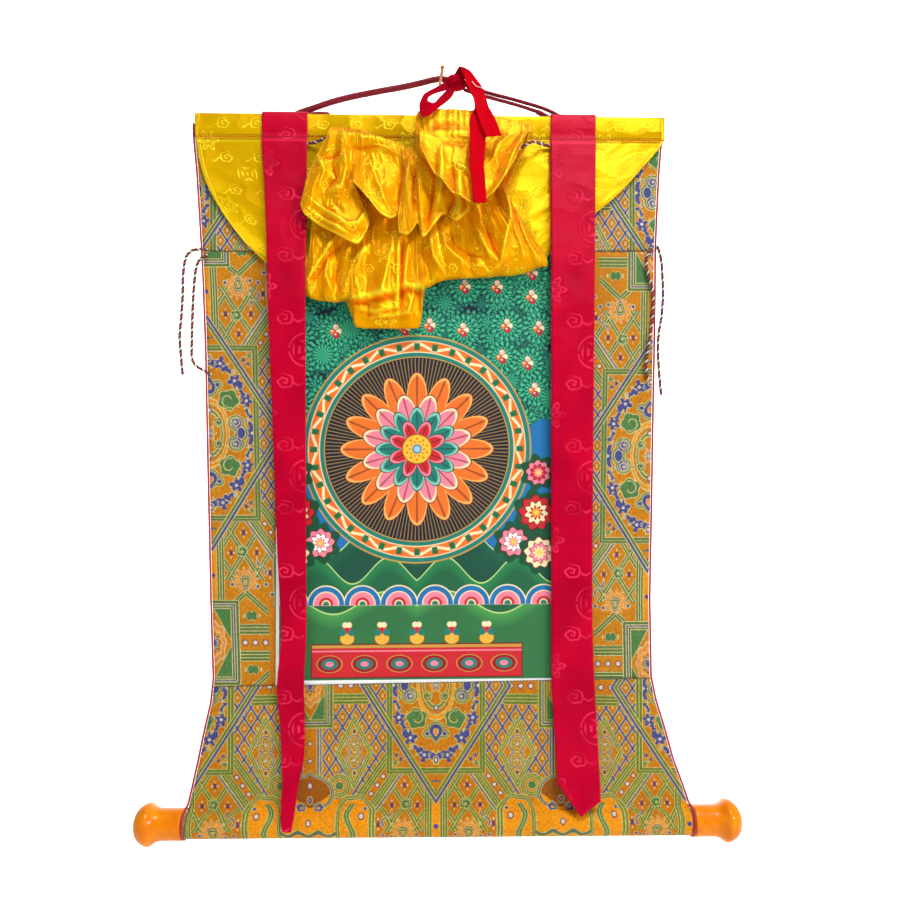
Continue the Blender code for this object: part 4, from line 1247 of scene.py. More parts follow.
@dataclass(frozen=True)
class BareWood:
    """Plain sanded wood with a fine grain along X."""

    name: str = "bare_wood"
    base: Colour = dye(206, 172, 124)
    deep: Colour = dye(160, 118, 72)

    def material(self) -> Finish:
        """The wood's material, on Object coordinates drawn out along X.

        Returns:
            The material.
        """
        paint = Paint(self.name)
        stretch = paint.node("Mapping", {"Vector": paint.place(), "Scale": (6.0, 260.0, 260.0)})
        grain = paint.noise(stretch.outputs[0], 1.0, 4.0)
        paint.start(self.base)
        paint.lay(grain.outside(0.5, 0.3), self.deep)
        paint.bump(grain, 0.2, 0.0004)
        paint.set(Roughness=0.6, Specular_IOR_Level=0.3)
        return paint.done()


@dataclass(frozen=True)
class WornBrass:
    """Dull bronze-brown metal, worn pale in places."""

    name: str = "nail_metal"
    base: Colour = dye(150, 78, 24)
    worn: Colour = dye(214, 160, 90)

    def material(self) -> Finish:
        """The metal's material, on Object coordinates.

        Returns:
            The material.
        """
        paint = Paint(self.name)
        wear = paint.noise(paint.place(), 700.0, 3.0)
        paint.start(self.base)
        paint.lay(wear.outside(0.58, 0.2), self.worn)
        paint.roughness(wear.math("MULTIPLY_ADD", 0.3, 0.25))
        paint.bump(wear, 0.2, 0.0002)
        paint.set(Metallic=0.85)
        return paint.done()


@dataclass(frozen=True)
class Thread:
    """Sewing thread, or a fine corded edge: one colour with a twist along it."""

    name: str
    base: Colour
    deep: Colour

    def material(self) -> Finish:
        """The thread's material, on turns round it and metres along it.

        Returns:
            The material.
        """
        paint = Paint(self.name)
        turns, along = paint.across_and_along(1.0)
        twist = ((turns * 3.0 + along * 700.0) * (2 * math.pi)).wave()
        paint.start(self.base)
        paint.lay(twist.outside(0.3, 0.8) * 0.6, self.deep)
        paint.bump(twist, 0.3, 0.0002)
        paint.set(Roughness=0.7, Sheen_Weight=0.3, Specular_IOR_Level=0.3)
        return paint.done()


# ---------------------------------------------------------------- shapes


def between(knots: Array, index: Array, t: Array) -> Array:
    """Rows on the smooth curve through rows of values, by the cubic of Catmull and Rom.

    Args:
        knots: The rows that the curve goes through.
        index: The row before each wanted place.
        t: How far on to the next row it is, from 0 to 1.

    Returns:
        The rows at those places.
    """
    padded = np.vstack([2 * knots[0] - knots[1], knots, 2 * knots[-1] - knots[-2]])
    a, b, c, d = (padded[index + i] for i in range(4))
    return 0.5 * (2 * b + (c - a) * t + (2 * a - 5 * b + 4 * c - d) * t**2 + (3 * b - a - 3 * c + d) * t**3)


def smooth_route(points: Array, count: int) -> Array:
    """Evenly spaced points on the smooth curve through a route's own points.

    Args:
        points: The route's points, or rows of any values, in order.
        count: How many to give back.

    Returns:
        The rows, as an array.
    """
    knots = np.array(points, float)
    t = np.linspace(0, 1, STEPS_BETWEEN_KNOTS, endpoint=False)[None, :, None]
    pieces = between(knots, np.arange(len(knots) - 1)[:, None], t)
    dense = np.vstack([pieces.reshape(-1, knots.shape[1]), knots[-1:]])
    length = np.append(0, np.cumsum(np.linalg.norm(np.diff(dense, axis=0), axis=1)))
    wanted = np.linspace(0, length[-1], count)
    return np.column_stack([np.interp(wanted, length, column) for column in dense.T])


def fold_curve(points: Array, steps: Sequence[int]) -> Array:
    """A smooth curve through control points, with a set number of rows from each one to the next.

    It is a cubic Hermite curve whose tangents are centred differences over centripetal knots, as in the
    solid.

    Args:
        points: The control points, with the shape (control, ..., values).
        steps: The number of rows from each control point to the next.

    Returns:
        The rows, with the shape (rows, ..., values).
    """
    spans = np.linalg.norm(np.diff(points, axis=0), axis=-1, keepdims=True) ** 0.5 + 1e-6
    slopes = np.diff(points, axis=0) / spans
    inner = (slopes[:-1] * spans[1:] + slopes[1:] * spans[:-1]) / (spans[:-1] + spans[1:])
    tangents = np.concatenate([slopes[:1], inner, slopes[-1:]])
    rows = []
    for start, end, span, leave, arrive, count in zip(
        points, points[1:], spans, tangents, tangents[1:], steps
    ):
        t = (np.arange(count) / count).reshape(-1, *[1] * (points.ndim - 1))
        blend = t * t * (3 - 2 * t)
        rows.append(
            start * (1 - blend) + end * blend + span * (leave * t * (1 - t) ** 2 - arrive * t * t * (1 - t))
        )
    return np.concatenate(rows + [points[-1:]])


def ripple(x: Array, z: Array, waves: Sequence[tuple[float, float, float, float]]) -> Array:
    """A sum of slow waves over a cloth: each gives size * sin(2 pi (x / across + z / down) + phase).

    Args:
        x: Where each point of the cloth is across, in millimetres.
        z: Its height.
        waves: Each wave's size, length across, length down and phase.

    Returns:
        The sum at each point.
    """
    total = np.zeros(np.broadcast(x, z).shape)
    for size, across, down, phase in waves:
        total = total + size * np.sin(2 * math.pi * (x / across + z / down) + phase)
    return total


def creases(x: Array, z: Array, table: Sequence[Sequence]) -> Array:
    """Creases over a cloth seen from the front.

    Each row of the table has a height (towards the viewer where positive), a width, a lean and the
    points (x, z) of a line. It adds height * exp(-(off / wide) ** 1.15), where off is the distance from the
    line and wide is widened on one side of it and narrowed on the other by the lean. Its ends are tapered.

    Args:
        x: Where each point of the cloth is across, in millimetres.
        z: Its height.
        table: The creases.

    Returns:
        The height of the creases at each point.
    """
    total = np.zeros(x.shape)
    for height, width, lean, *points in table:
        line = np.array(points, float)
        spans = np.hypot(*np.diff(line, axis=0).T)
        run = np.append(0, np.cumsum(spans)) / spans.sum()
        nearest = np.full(x.shape, 1e6)
        reach, side = np.zeros(x.shape), np.zeros(x.shape)
        for i, span in enumerate(spans):
            way = (line[i + 1] - line[i]) / span
            along = (x - line[i, 0]) * way[0] + (z - line[i, 1]) * way[1]
            held = np.clip(along, 0, span)
            off = np.hypot(x - line[i, 0] - held * way[0], z - line[i, 1] - held * way[1])
            cross = (x - line[i, 0]) * way[1] - (z - line[i, 1]) * way[0]
            closer = off < nearest
            reach = np.where(closer, run[i] + held / span * (run[i + 1] - run[i]), reach)
            side = np.where(closer, np.sign(cross), side)
            nearest = np.where(closer, off, nearest)
        wide = width * np.where(side * lean > 0, 1 + 1.6 * abs(lean), 1 - 0.75 * abs(lean))
        taper = np.clip(np.minimum(reach + 0.12, 1.12 - reach) / 0.34, 0, 1)
        total = total + height * taper * np.exp(-((nearest / wide) ** 1.15))
    return total


def make_object(name: str, points: Array, faces: list, cloth: Array, finish: Finish) -> Piece:
    """A mesh object at the origin, from points in millimetres.

    Args:
        name: The piece's name.
        points: Its points, in millimetres.
        faces: Each face's points, anticlockwise seen from outside.
        cloth: The cloth coordinates, in metres, of every corner of every face.
        finish: Its material.

    Returns:
        The object, linked to the scene.
    """
    mesh = bpy.data.meshes.new(name)
    mesh.from_pydata((points * MM).tolist(), [], faces)
    layer = mesh.uv_layers.new(name="cloth")
    layer.data.foreach_set("uv", np.asarray(cloth, np.float32).ravel())
    mesh.materials.append(finish)
    mesh.shade_smooth()
    obj = bpy.data.objects.new(name, mesh)
    bpy.context.scene.collection.objects.link(obj)
    return obj


def sheet_object(name: str, grid: Array, cloth: Array, thickness: float, finish: Finish) -> Piece:
    """A cloth from a grid of rows and columns, given its thickness by Solidify.

    Args:
        name: The piece's name.
        grid: Points in millimetres, with the shape (rows, columns, 3), down the cloth and to its right.
        cloth: Cloth coordinates in metres, with the shape (rows, columns, 2).
        thickness: The cloth's thickness, in millimetres.
        finish: Its material.

    Returns:
        The object.
    """
    rows, columns, _ = grid.shape
    index = np.arange(rows * columns).reshape(rows, columns)
    quads = np.stack([index[:-1, :-1], index[1:, :-1], index[1:, 1:], index[:-1, 1:]], axis=-1).reshape(-1, 4)
    corners = cloth.reshape(-1, 2)[quads.ravel()]
    obj = make_object(name, grid.reshape(-1, 3), quads.tolist(), corners, finish)
    shell = obj.modifiers.new("thickness", "SOLIDIFY")
    shell.thickness = thickness * MM
    shell.offset = 0.0
    shell.use_rim = True
    return obj


def mark(obj: Piece, name: str, values: Array) -> None:
    """Stores a value for each point of a piece, for its material to read."""
    layer = obj.data.attributes.new(name, "FLOAT", "POINT")
    layer.data.foreach_set("value", np.asarray(values, np.float32).ravel())


def tape_lengths(grid: Array) -> Array:
    """The length run down a narrow cloth, the same right across it, at each point of its grid."""
    return cloth_lengths(grid).mean(axis=1, keepdims=True) * np.ones(grid.shape[1])


def cloth_lengths(grid: Array) -> Array:
    """The length run down each column of a grid, from its first row, in the grid's own unit."""
    steps = np.linalg.norm(np.diff(grid, axis=0), axis=-1)
    return np.concatenate([np.zeros((1, grid.shape[1])), np.cumsum(steps, axis=0)])


def tube_faces(rings: int, around: int) -> list:
    """Faces of a closed tube of rings, each of the points in a row.

    Args:
        rings: How many rings there are.
        around: How many points each has.

    Returns:
        The quads between the rings, and the two caps after them.
    """
    index = np.arange(rings * around).reshape(rings, around)
    after = np.roll(index, -1, axis=1)
    quads = np.stack([index[:-1], after[:-1], after[1:], index[1:]], axis=-1).reshape(-1, 4)
    return quads.tolist() + [index[0][::-1].tolist(), index[-1].tolist()]


def swept_object(name: str, route: Array, radii: Array, facing: Point, finish: Finish,
                 dome: bool = True) -> Piece:
    """A round piece carried along a route, closed at both ends.

    Its frame at each point is the route's direction, that crossed with `facing`, and the cross of the two,
    so a point at angle q is route + radius * (cos q * first + sin q * second).

    Args:
        name: The piece's name.
        route: The centre line's points, in millimetres.
        radii: The radius at each point and angle, with the shape (points, angles).
        facing: A direction that the route never runs along.
        finish: Its material.
        dome: Whether its ends are rounded over.

    Returns:
        The object.
    """
    tangent = np.gradient(route, axis=0)
    length = np.linalg.norm(tangent, axis=1, keepdims=True)
    # Where two points coincide, as at a turned shoulder, the whole route's direction serves
    tangent = np.where(length > LEAST_STEP, tangent, route[-1] - route[0])
    tangent /= np.linalg.norm(tangent, axis=1, keepdims=True)
    if dome:
        lean = np.radians((80.0, 60.0, 35.0))
        caps = []
        for end, sign in ((0, -1), (-1, 1)):
            size = radii[end].mean()
            centres = route[end] + sign * np.sin(lean)[:, None] * size * tangent[end]
            rings = radii[end][None] * np.cos(lean)[:, None]
            caps.append((centres, rings, np.repeat(tangent[end][None], len(lean), 0)))
        (head, head_rings, head_way), (foot, foot_rings, foot_way) = caps
        route = np.concatenate([head, route, foot[::-1]])
        radii = np.concatenate([head_rings, radii, foot_rings[::-1]])
        tangent = np.concatenate([head_way, tangent, foot_way])
    first = np.cross(tangent, facing)
    first /= np.linalg.norm(first, axis=1, keepdims=True)
    second = np.cross(tangent, first)
    count, around = radii.shape
    angle = np.linspace(0, 2 * math.pi, around, endpoint=False)[None, :, None]
    ring = first[:, None] * np.cos(angle) + second[:, None] * np.sin(angle)
    points = route[:, None] + radii[..., None] * ring
    length = np.append(0, np.cumsum(np.linalg.norm(np.diff(route, axis=0), axis=1))) * MM
    turn = np.arange(around) / around
    starts = np.broadcast_to(turn, (count - 1, around))
    ends = starts + 1 / around
    upper = np.broadcast_to(length[:-1, None], starts.shape)
    lower = np.broadcast_to(length[1:, None], starts.shape)
    corners = np.stack(
        [np.stack([starts, ends, ends, starts], -1), np.stack([upper, upper, lower, lower], -1)], axis=-1
    ).reshape(-1, 2)
    caps = [np.column_stack([turn, np.full(around, end)]) for end in (length[0], length[-1])]
    faces = tube_faces(count, around)
    return make_object(name, points.reshape(-1, 3), faces, np.concatenate([corners, *caps]), finish)


def round_cord(name: str, points: Array, diameter: float, finish: Finish, step: float = 1.5, around: int = 16,
               strands: int = 0, pitch: float = 0.0, valley: float = 0.22, facing: Point = (0, 1, 0),
               even: bool = True) -> tuple[Piece, Array]:
    """A cord along a route, round or of twisted strands.

    With strands, the radius at angle q and length s is
    R * (1 - valley * (1 - |cos(strands / 2 * (q - 2 pi s / pitch))| ^ 0.7)).

    Args:
        name: The piece's name.
        points: The route, in millimetres.
        diameter: The cord's diameter.
        finish: Its material.
        step: Distance between rings, in millimetres.
        around: Points round a ring.
        strands: How many strands show, or 0 for a round cord.
        pitch: Length of one turn of a strand.
        valley: Depth of the grooves, as a share of the radius.
        facing: A direction that the route never runs along.
        even: Whether the route is smoothed and spaced evenly.

    Returns:
        The object and its centre line, in millimetres.
    """
    route = np.array(points, float)
    length = np.linalg.norm(np.diff(route, axis=0), axis=1).sum()
    if even:
        route = smooth_route(route, max(8, int(length / step)))
    run = np.append(0, np.cumsum(np.linalg.norm(np.diff(route, axis=0), axis=1)))
    radii = np.full((len(route), around), diameter / 2)
    if strands:
        angle = np.linspace(0, 2 * math.pi, around, endpoint=False)
        turn = angle[None] - 2 * math.pi * run[:, None] / pitch
        radii = radii * (1 - valley * (1 - np.abs(np.cos(strands / 2 * turn)) ** 0.7))
    return swept_object(name, route, radii, facing, finish), route


def turned_object(name: str, profile: Array, centre: Point, axis: Point, finish: Finish,
                  around: int) -> Piece:
    """A turned piece: its profile spun round its axis, so a route along the axis with the profile's radii.

    Args:
        name: The piece's name.
        profile: Rows of the distance along the axis and the radius, in millimetres.
        centre: Where the distances start.
        axis: The axis' direction.
        finish: Its material.
        around: Points round a ring.

    Returns:
        The object.
    """
    along, radius = np.array(profile, float).T
    axis = np.array(axis, float) / np.linalg.norm(axis)
    route = np.array(centre, float) + along[:, None] * axis
    radii = np.repeat(np.maximum(radius, 0.02)[:, None], around, axis=1)
    facing = (0, 0, 1) if abs(axis[2]) < 0.7 else (1, 0, 0)
    return swept_object(name, route, radii, facing, finish, dome=False)


def stitches(name: str, start: Array, way: Array, length: float, width: float, finish: Finish) -> Piece:
    """A row of thread stitches, each a small capsule from its start along its way.

    Args:
        name: The piece's name.
        start: Each stitch's first point, in millimetres, with the shape (count, 3).
        way: Its direction, of length 1, with the same shape.
        length: A stitch's length.
        width: The thread's thickness.
        finish: Its material.

    Returns:
        The object.
    """
    around = 6
    share = np.array((0.0, 0.12, 0.5, 0.88, 1.0))
    radius = np.array((0.35, 0.9, 1.0, 0.9, 0.35)) * width / 2
    rise = np.array((-0.6, 0.2, 0.5, 0.2, -0.6)) * width / 2
    out = np.array((0.0, -1.0, 0.0))
    side = np.cross(way, out)
    angle = np.linspace(0, 2 * math.pi, around, endpoint=False)
    centres = start[:, None] + way[:, None] * (share * length)[None, :, None] + out * rise[None, :, None]
    ring = side[:, None] * np.cos(angle)[None, :, None] + out * np.sin(angle)[None, :, None]
    points = centres[:, :, None] + radius[None, :, None, None] * ring[:, None]
    index = np.arange(len(start) * len(share) * around).reshape(len(start), len(share), around)
    after = np.roll(index, -1, axis=2)
    quads = np.stack([index[:, :-1], index[:, 1:], after[:, 1:], after[:, :-1]], axis=-1).reshape(-1, 4)
    faces = quads.tolist() + index[:, 0].tolist() + index[:, -1, ::-1].tolist()
    corners = sum(len(face) for face in faces)
    return make_object(name, points.reshape(-1, 3), faces, np.zeros((corners, 2)), finish)


def settle(obj: Piece, slot: str, replaces: Sequence[str] = ()) -> Piece:
    """Puts a finished piece on the scroll's body and reports it.

    Args:
        obj: The piece.
        slot: Its material slot.
        replaces: The nodes that it stands for.

    Returns:
        The piece.
    """
    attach(obj, ROOT)
    if replaces:
        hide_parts(*replaces)
    log.info("%s: %d faces, slot %s", obj.name, len(obj.data.polygons), slot)
    return obj


def declare_sheet(grid: Array) -> None:
    """Works out a cloth's mean width over the grid, no less than LEAST_WIDTH, and does nothing more with it.

    Args:
        grid: Its points, in millimetres.
    """
    width = max(cloth_lengths(grid.transpose(1, 0, 2))[-1].mean(), LEAST_WIDTH)


# ---------------------------------------------------------------- the hung cloth


@dataclass
class Outline:
    """The scroll's outline and depths, as in its solids."""

    edge: tuple = (
        (-36.0, -246.0, 227.0), (-60.0, -246.0, 224.5), (-90.0, -243.0, 222.0), (-136.0, -240.0, 219.5),
        (-171.0, -237.8, 218.0), (-209.0, -235.8, 217.6), (-282.0, -233.0, 216.2), (-400.0, -230.2, 213.6),
        (-520.0, -227.0, 211.0), (-596.0, -224.4, 212.0), (-620.0, -226.8, 217.0), (-650.0, -233.6, 226.0),
        (-678.0, -239.2, 233.6), (-705.0, -245.0, 243.6), (-724.0, -249.6, 250.0), (-757.0, -251.4, 251.4),
    )
    heading_top: float = -37.6
    stitch_z: float = -59.3
    pocket_back: float = -8.0
    pocket_front: float = -14.9
    rod_y: float = -21.5
    rod_z: float = -740.0
    rod_radius: float = 12.4
    sleeve_radius: float = 13.65
    pinch_half: float = 1.1
    edge_inset: float = 2.55
    piping_radius: float = 1.1
    upper_seam: tuple[float, float] = (-173.0, -170.0)
    lower_seam: tuple[float, float] = (-605.0, -598.0)
    seam_span: tuple[float, float] = (-225.0, 215.0)

    @property
    def pinch_z(self) -> float:
        """Height of the stitching over the rod."""
        return self.rod_z + self.sleeve_radius + 2.0

    def side(self, side: Side, z: Array) -> Array:
        """x of the cloth's edge at these heights, inside its piping.

        Args:
            side: Which edge.
            z: The heights.

        Returns:
            The edge's x at each height.
        """
        table = np.array(self.edge)[::-1]
        column = 1 if side is Side.LEFT else 2
        return np.interp(z, table[:, 0], table[:, column]) - side.value * self.edge_inset

    def depth(self, z: Array) -> Array:
        """Depth of the cloth's middle surface: a straight fall from the heading's stitching to the rod's."""
        return np.interp(z, [self.pinch_z, self.stitch_z], [self.rod_y - 1.1, self.pocket_front + 2.0])

    def seam(self, x: Array, seam: tuple[float, float]) -> Array:
        """Height of a slanting seam at this x."""
        return np.interp(x, self.seam_span, seam)


@dataclass
class Mount:
    """The brocade mount: four sewn panels, the pocket and sleeve, their piping, seams and the batten."""

    outline: Outline
    thickness: float = 0.7
    gap: float = 0.08
    picture_left: float = -162.0
    picture_right: float = 117.0
    columns: int = 150
    side_rows: int = 150
    top_rows: int = 44
    bottom_rows: int = 60
    # Each panel's pattern: x of a medallion's axis and height of its row
    top_pattern: tuple[float, float] = (240.7, -110.6)
    top_stretch: float = 1.034
    bottom_pattern: tuple[float, float] = (-4.1, -603.5)
    left_pattern: tuple[float, float] = (0.6, -353.7)
    right_pattern: tuple[float, float] = (-1.9, -375.7)

    def build(self) -> None:
        """Makes the panels, then what is sewn to them."""
        upper = Brocade(value=0.94).material()
        lower = Brocade(
            name="brocade_foot", ground=dye(206, 124, 8), bright=dye(246, 154, 4), green=dye(106, 126, 46),
            cream=dye(206, 192, 106), value=0.9,
        ).material()
        piping = Thread("piping", dye(186, 16, 36), dye(110, 4, 20)).material()
        o = self.outline
        window = self._lowered(o.upper_seam, self.gap), self._lowered(o.lower_seam, -self.gap)
        beside = self.picture_left - self.gap, self.picture_right + self.gap
        grids = {
            "top": self._top_grid(),
            "left": self._panel(Side.LEFT, beside[0], *window, self.side_rows, 26),
            "right": self._panel(beside[1], Side.RIGHT, *window, self.side_rows, 34),
            "bottom": self._bottom_grid(),
        }
        for name, finish, pattern, follow in (
            ("top", upper, self.top_pattern, None), ("left", upper, self.left_pattern, Side.LEFT),
            ("right", upper, self.right_pattern, Side.RIGHT), ("bottom", lower, self.bottom_pattern, None),
        ):
            cloth = self._cloth(grids[name], pattern, follow)
            cloth[..., 0] /= self.top_stretch if name == "top" else 1.0
            obj = sheet_object(f"brocade_{name}_cloth", grids[name], cloth, self.thickness, finish)
            settle(obj, "brocade", [f"brocade_{name}"])
        self._piping(grids, piping)
        self._seam_stitches()
        for name, carriers in (
            ("top", ["top_batten"]), ("left", ["brocade_top_cloth"]), ("right", ["brocade_top_cloth"]),
            ("bottom", ["brocade_left_cloth", "brocade_right_cloth"]),
        ):
            declare_sheet(grids[name])

    def _seam_stitches(self) -> None:
        """A row of dark stitches along each seam between the panels."""
        thread = Thread("seam_thread", dye(66, 50, 34), dye(30, 22, 20)).material()
        x = np.arange(-228.0, 212.0, 3.3)
        for name, seam in (("upper", self.outline.upper_seam), ("lower", self.outline.lower_seam)):
            z = self.outline.seam(x, seam)
            start = np.stack([x, self.outline.depth(z) + 0.35 - self.thickness / 2, z], axis=-1)
            way = np.gradient(start, axis=0)
            way /= np.linalg.norm(way, axis=1, keepdims=True)
            settle(stitches(f"seam_{name}_stitches", start, way, 2.8, 0.7, thread), "brocade")

    def _lowered(self, seam: tuple[float, float], by: float) -> tuple[float, float]:
        """A seam moved down."""
        return (seam[0] - by, seam[1] - by)

    def _edge(self, edge: Side | float, z: Array) -> Array:
        """x of a panel's edge at these heights: the mount's own edge on a side, or an upright one."""
        return self.outline.side(edge, z) if isinstance(edge, Side) else np.full(np.shape(z), edge)

    def _panel(self, left: Side | float, right: Side | float, top: tuple[float, float],
               bottom: tuple[float, float], rows: int, columns: int) -> Array:
        """A hung panel on the mount's fall, with soft waves.

        Args:
            left: Its left edge, as in `_edge`.
            right: Its right edge.
            top: The seam above it.
            bottom: The seam below it.
            rows: How many rows it has.
            columns: How many columns.

        Returns:
            Its grid: straight lines from the left edge to the right one, from seam to seam.
        """
        o = self.outline
        share = np.linspace(0, 1, rows)
        ends = []
        for edge in (left, right):
            x = self._edge(edge, np.full(rows, np.mean([top, bottom])))
            # The seams slant, so the edge is found again at the heights that it gives
            for _ in range(3):
                z = o.seam(x, top) * (1 - share) + o.seam(x, bottom) * share
                x = self._edge(edge, z)
            ends.append(np.stack([x, o.depth(z), z], axis=-1))
        across = np.linspace(0, 1, columns)[None, :, None]
        return self._softened(ends[0][:, None] * (1 - across) + ends[1][:, None] * across)

    def _softened(self, grid: Array) -> Array:
        """Sinks a panel a little at its seams, with puckers beside them, and lets it wave in between.

        Args:
            grid: The panel.

        Returns:
            The panel, softened.
        """
        x, z = grid[..., 0], grid[..., 2]
        lengths = cloth_lengths(grid)
        to_seam = np.minimum(lengths, lengths[-1] - lengths)
        free = np.clip(to_seam / 30.0, 0, 1)
        wave = ripple(x, z, ((0.16, 130.0, 210.0, 0.4), (0.10, 61.0, -140.0, 1.9), (0.06, -37.0, 90.0, 0.7)))
        pucker = 0.10 * np.sin(2 * math.pi * x / 7.0 + np.sin(x / 13.0)) * np.exp(-to_seam / 4.0)
        sink = 0.35 * np.exp(-((to_seam / 1.6) ** 2))
        grid = grid.copy()
        grid[..., 1] += wave * free + pucker + sink
        return grid

    def _section(self, section: Array, columns: int) -> Array:
        """The cloth's rows along a section of depth and height, from one side edge to the other.

        Args:
            section: Rows of depth and height.
            columns: How many columns to make.

        Returns:
            The grid.
        """
        across = np.linspace(0, 1, columns)
        ends = [self.outline.side(side, section[:, 1])[:, None] for side in Side]
        x = ends[0] * (1 - across) + ends[1] * across
        return np.stack([x, *(np.repeat(section[:, i, None], columns, 1) for i in (0, 1))], axis=-1)

    def _top_grid(self) -> Array:
        """The top panel: up its back hem, over the batten, down to its stitching, and down to its seam.

        Returns:
            The panel, with the shape (row, column, 3).
        """
        o = self.outline
        back, front, top = o.pocket_back, o.pocket_front, o.heading_top
        section = np.array([
            (back - 2.0, o.stitch_z - 4.0), (back - 1.9, o.stitch_z), (back, o.stitch_z + 5.5),
            (back, top - 3.4), (back - 0.8, top - 1.0), (back - 2.6, top),
            (front + 2.6, top), (front + 0.8, top - 1.0), (front, top - 3.4),
            (front, o.stitch_z + 5.5), (front + 2.0, o.stitch_z),
        ])
        stitching = (o.stitch_z, o.stitch_z)
        seam = self._lowered(o.upper_seam, -self.gap)
        fall = self._panel(Side.LEFT, Side.RIGHT, stitching, seam, self.top_rows, self.columns)
        return np.concatenate([self._section(smooth_route(section, 56)[:-1], self.columns), fall])

    def _bottom_grid(self) -> Array:
        """The bottom panel: from its seam down to the stitching, round the rod and up behind it.

        Returns:
            The panel, with the shape (row, column, 3).
        """
        o = self.outline
        seam, stitching = self._lowered(o.lower_seam, self.gap), (o.pinch_z, o.pinch_z)
        fall = self._panel(Side.LEFT, Side.RIGHT, seam, stitching, self.bottom_rows, self.columns)
        angles = np.radians(np.linspace(104, 436, 84))
        ring = np.column_stack([
            o.rod_y + o.sleeve_radius * np.cos(angles), o.rod_z + o.sleeve_radius * np.sin(angles),
        ])
        pinch = o.rod_y + o.pinch_half
        ends = np.array([(pinch, o.pinch_z), (pinch + 0.4, o.pinch_z + 8.0)])
        sleeve = self._section(np.concatenate([ring, ends]), self.columns)
        return np.concatenate([fall, sleeve])

    def _cloth(self, grid: Array, pattern: tuple[float, float], follow: Side | None) -> Array:
        """The pattern's coordinates, across from a medallion's axis and down the cloth from its row.

        Args:
            grid: The panel.
            pattern: x of the axis and height of the row.
            follow: The edge that the pattern follows, if any.

        Returns:
            The coordinates, in metres.
        """
        x, z = grid[..., 0], grid[..., 2]
        if follow is not None:
            x = x - self.outline.side(follow, z)
        lengths = cloth_lengths(grid)
        # The length is set so that it agrees with the height at a row in front
        _, depth, height = grid[:, 0].T
        match = np.argmin(np.abs(height - height.mean()) + (depth > depth.mean()))
        start = pattern[1] - z[match] - lengths[match]
        return np.stack([x - pattern[0], lengths + start[None, :]], axis=-1) * MM

    def _piping(self, grids: dict[str, Array], finish: Finish) -> None:
        """A red corded edge down each side, from the pocket's front, and round the sleeve's end.

        Args:
            grids: The panels' grids.
            finish: The edge's material.
        """
        o = self.outline
        top, bottom = grids["top"], grids["bottom"]
        ring_radius = o.rod_radius + o.piping_radius + 1.0
        angles = np.radians(np.linspace(112, 428, 60))
        above = len(top) - self.top_rows
        # Rows of the pocket's front that the edge goes up
        heading = 14
        for side, beside, column in ((Side.LEFT, grids["left"], 0), (Side.RIGHT, grids["right"], -1)):
            edge = np.concatenate([
                top[above - heading:, column], beside[1:, column], bottom[:self.bottom_rows - 2, column],
            ])
            edge[:, 0] += side.value * (0.35 + o.piping_radius)
            edge[:heading, 1] += 1.2
            ring = np.column_stack([
                np.full(len(angles), side.value * 250.3), o.rod_y + ring_radius * np.cos(angles),
                o.rod_z + ring_radius * np.sin(angles),
            ])
            name = f"piping_{side.name.lower()}"
            obj, _ = round_cord(
                f"{name}_edge", np.concatenate([smooth_route(edge, 420), ring]), 2 * o.piping_radius, finish,
                around=10, facing=(1, 0, 0), even=False,
            )
            settle(obj, "piping", [name])


@dataclass
class Picture:
    """The printed cloth in the window of the mount."""

    outline: Outline
    thickness: float = 0.5
    gap: float = 0.08
    left: float = -162.0
    right: float = 117.0

    def build(self) -> None:
        """Makes the print, a hung sheet between the side panels."""
        o = self.outline
        rows, columns = 120, 80
        share = np.linspace(0, 1, rows)[:, None]
        across = np.linspace(self.left + self.gap, self.right - self.gap, columns)
        x = np.broadcast_to(across, (rows, columns))
        z = (o.seam(x, o.upper_seam) - self.gap) * (1 - share) + (o.seam(x, o.lower_seam) + self.gap) * share
        grid = np.stack([x, o.depth(z), z], axis=-1)
        lengths = cloth_lengths(grid)
        free = np.clip(np.minimum(lengths, lengths[-1] - lengths) / 30.0, 0, 1)
        grid[..., 1] += free * ripple(x, z, ((0.18, 150.0, 260.0, 0.9), (0.10, 70.0, -170.0, 2.2)))
        middle = (self.left + self.right) / 2
        cloth = np.stack([x - middle, lengths], axis=-1) * MM
        finish = Print(wide=self.right - self.left, tall=float(lengths[-1].mean())).material()
        obj = sheet_object("picture_print", grid, cloth, self.thickness, finish)
        settle(obj, "printed_cloth", ["picture_panel"])
        declare_sheet(grid)


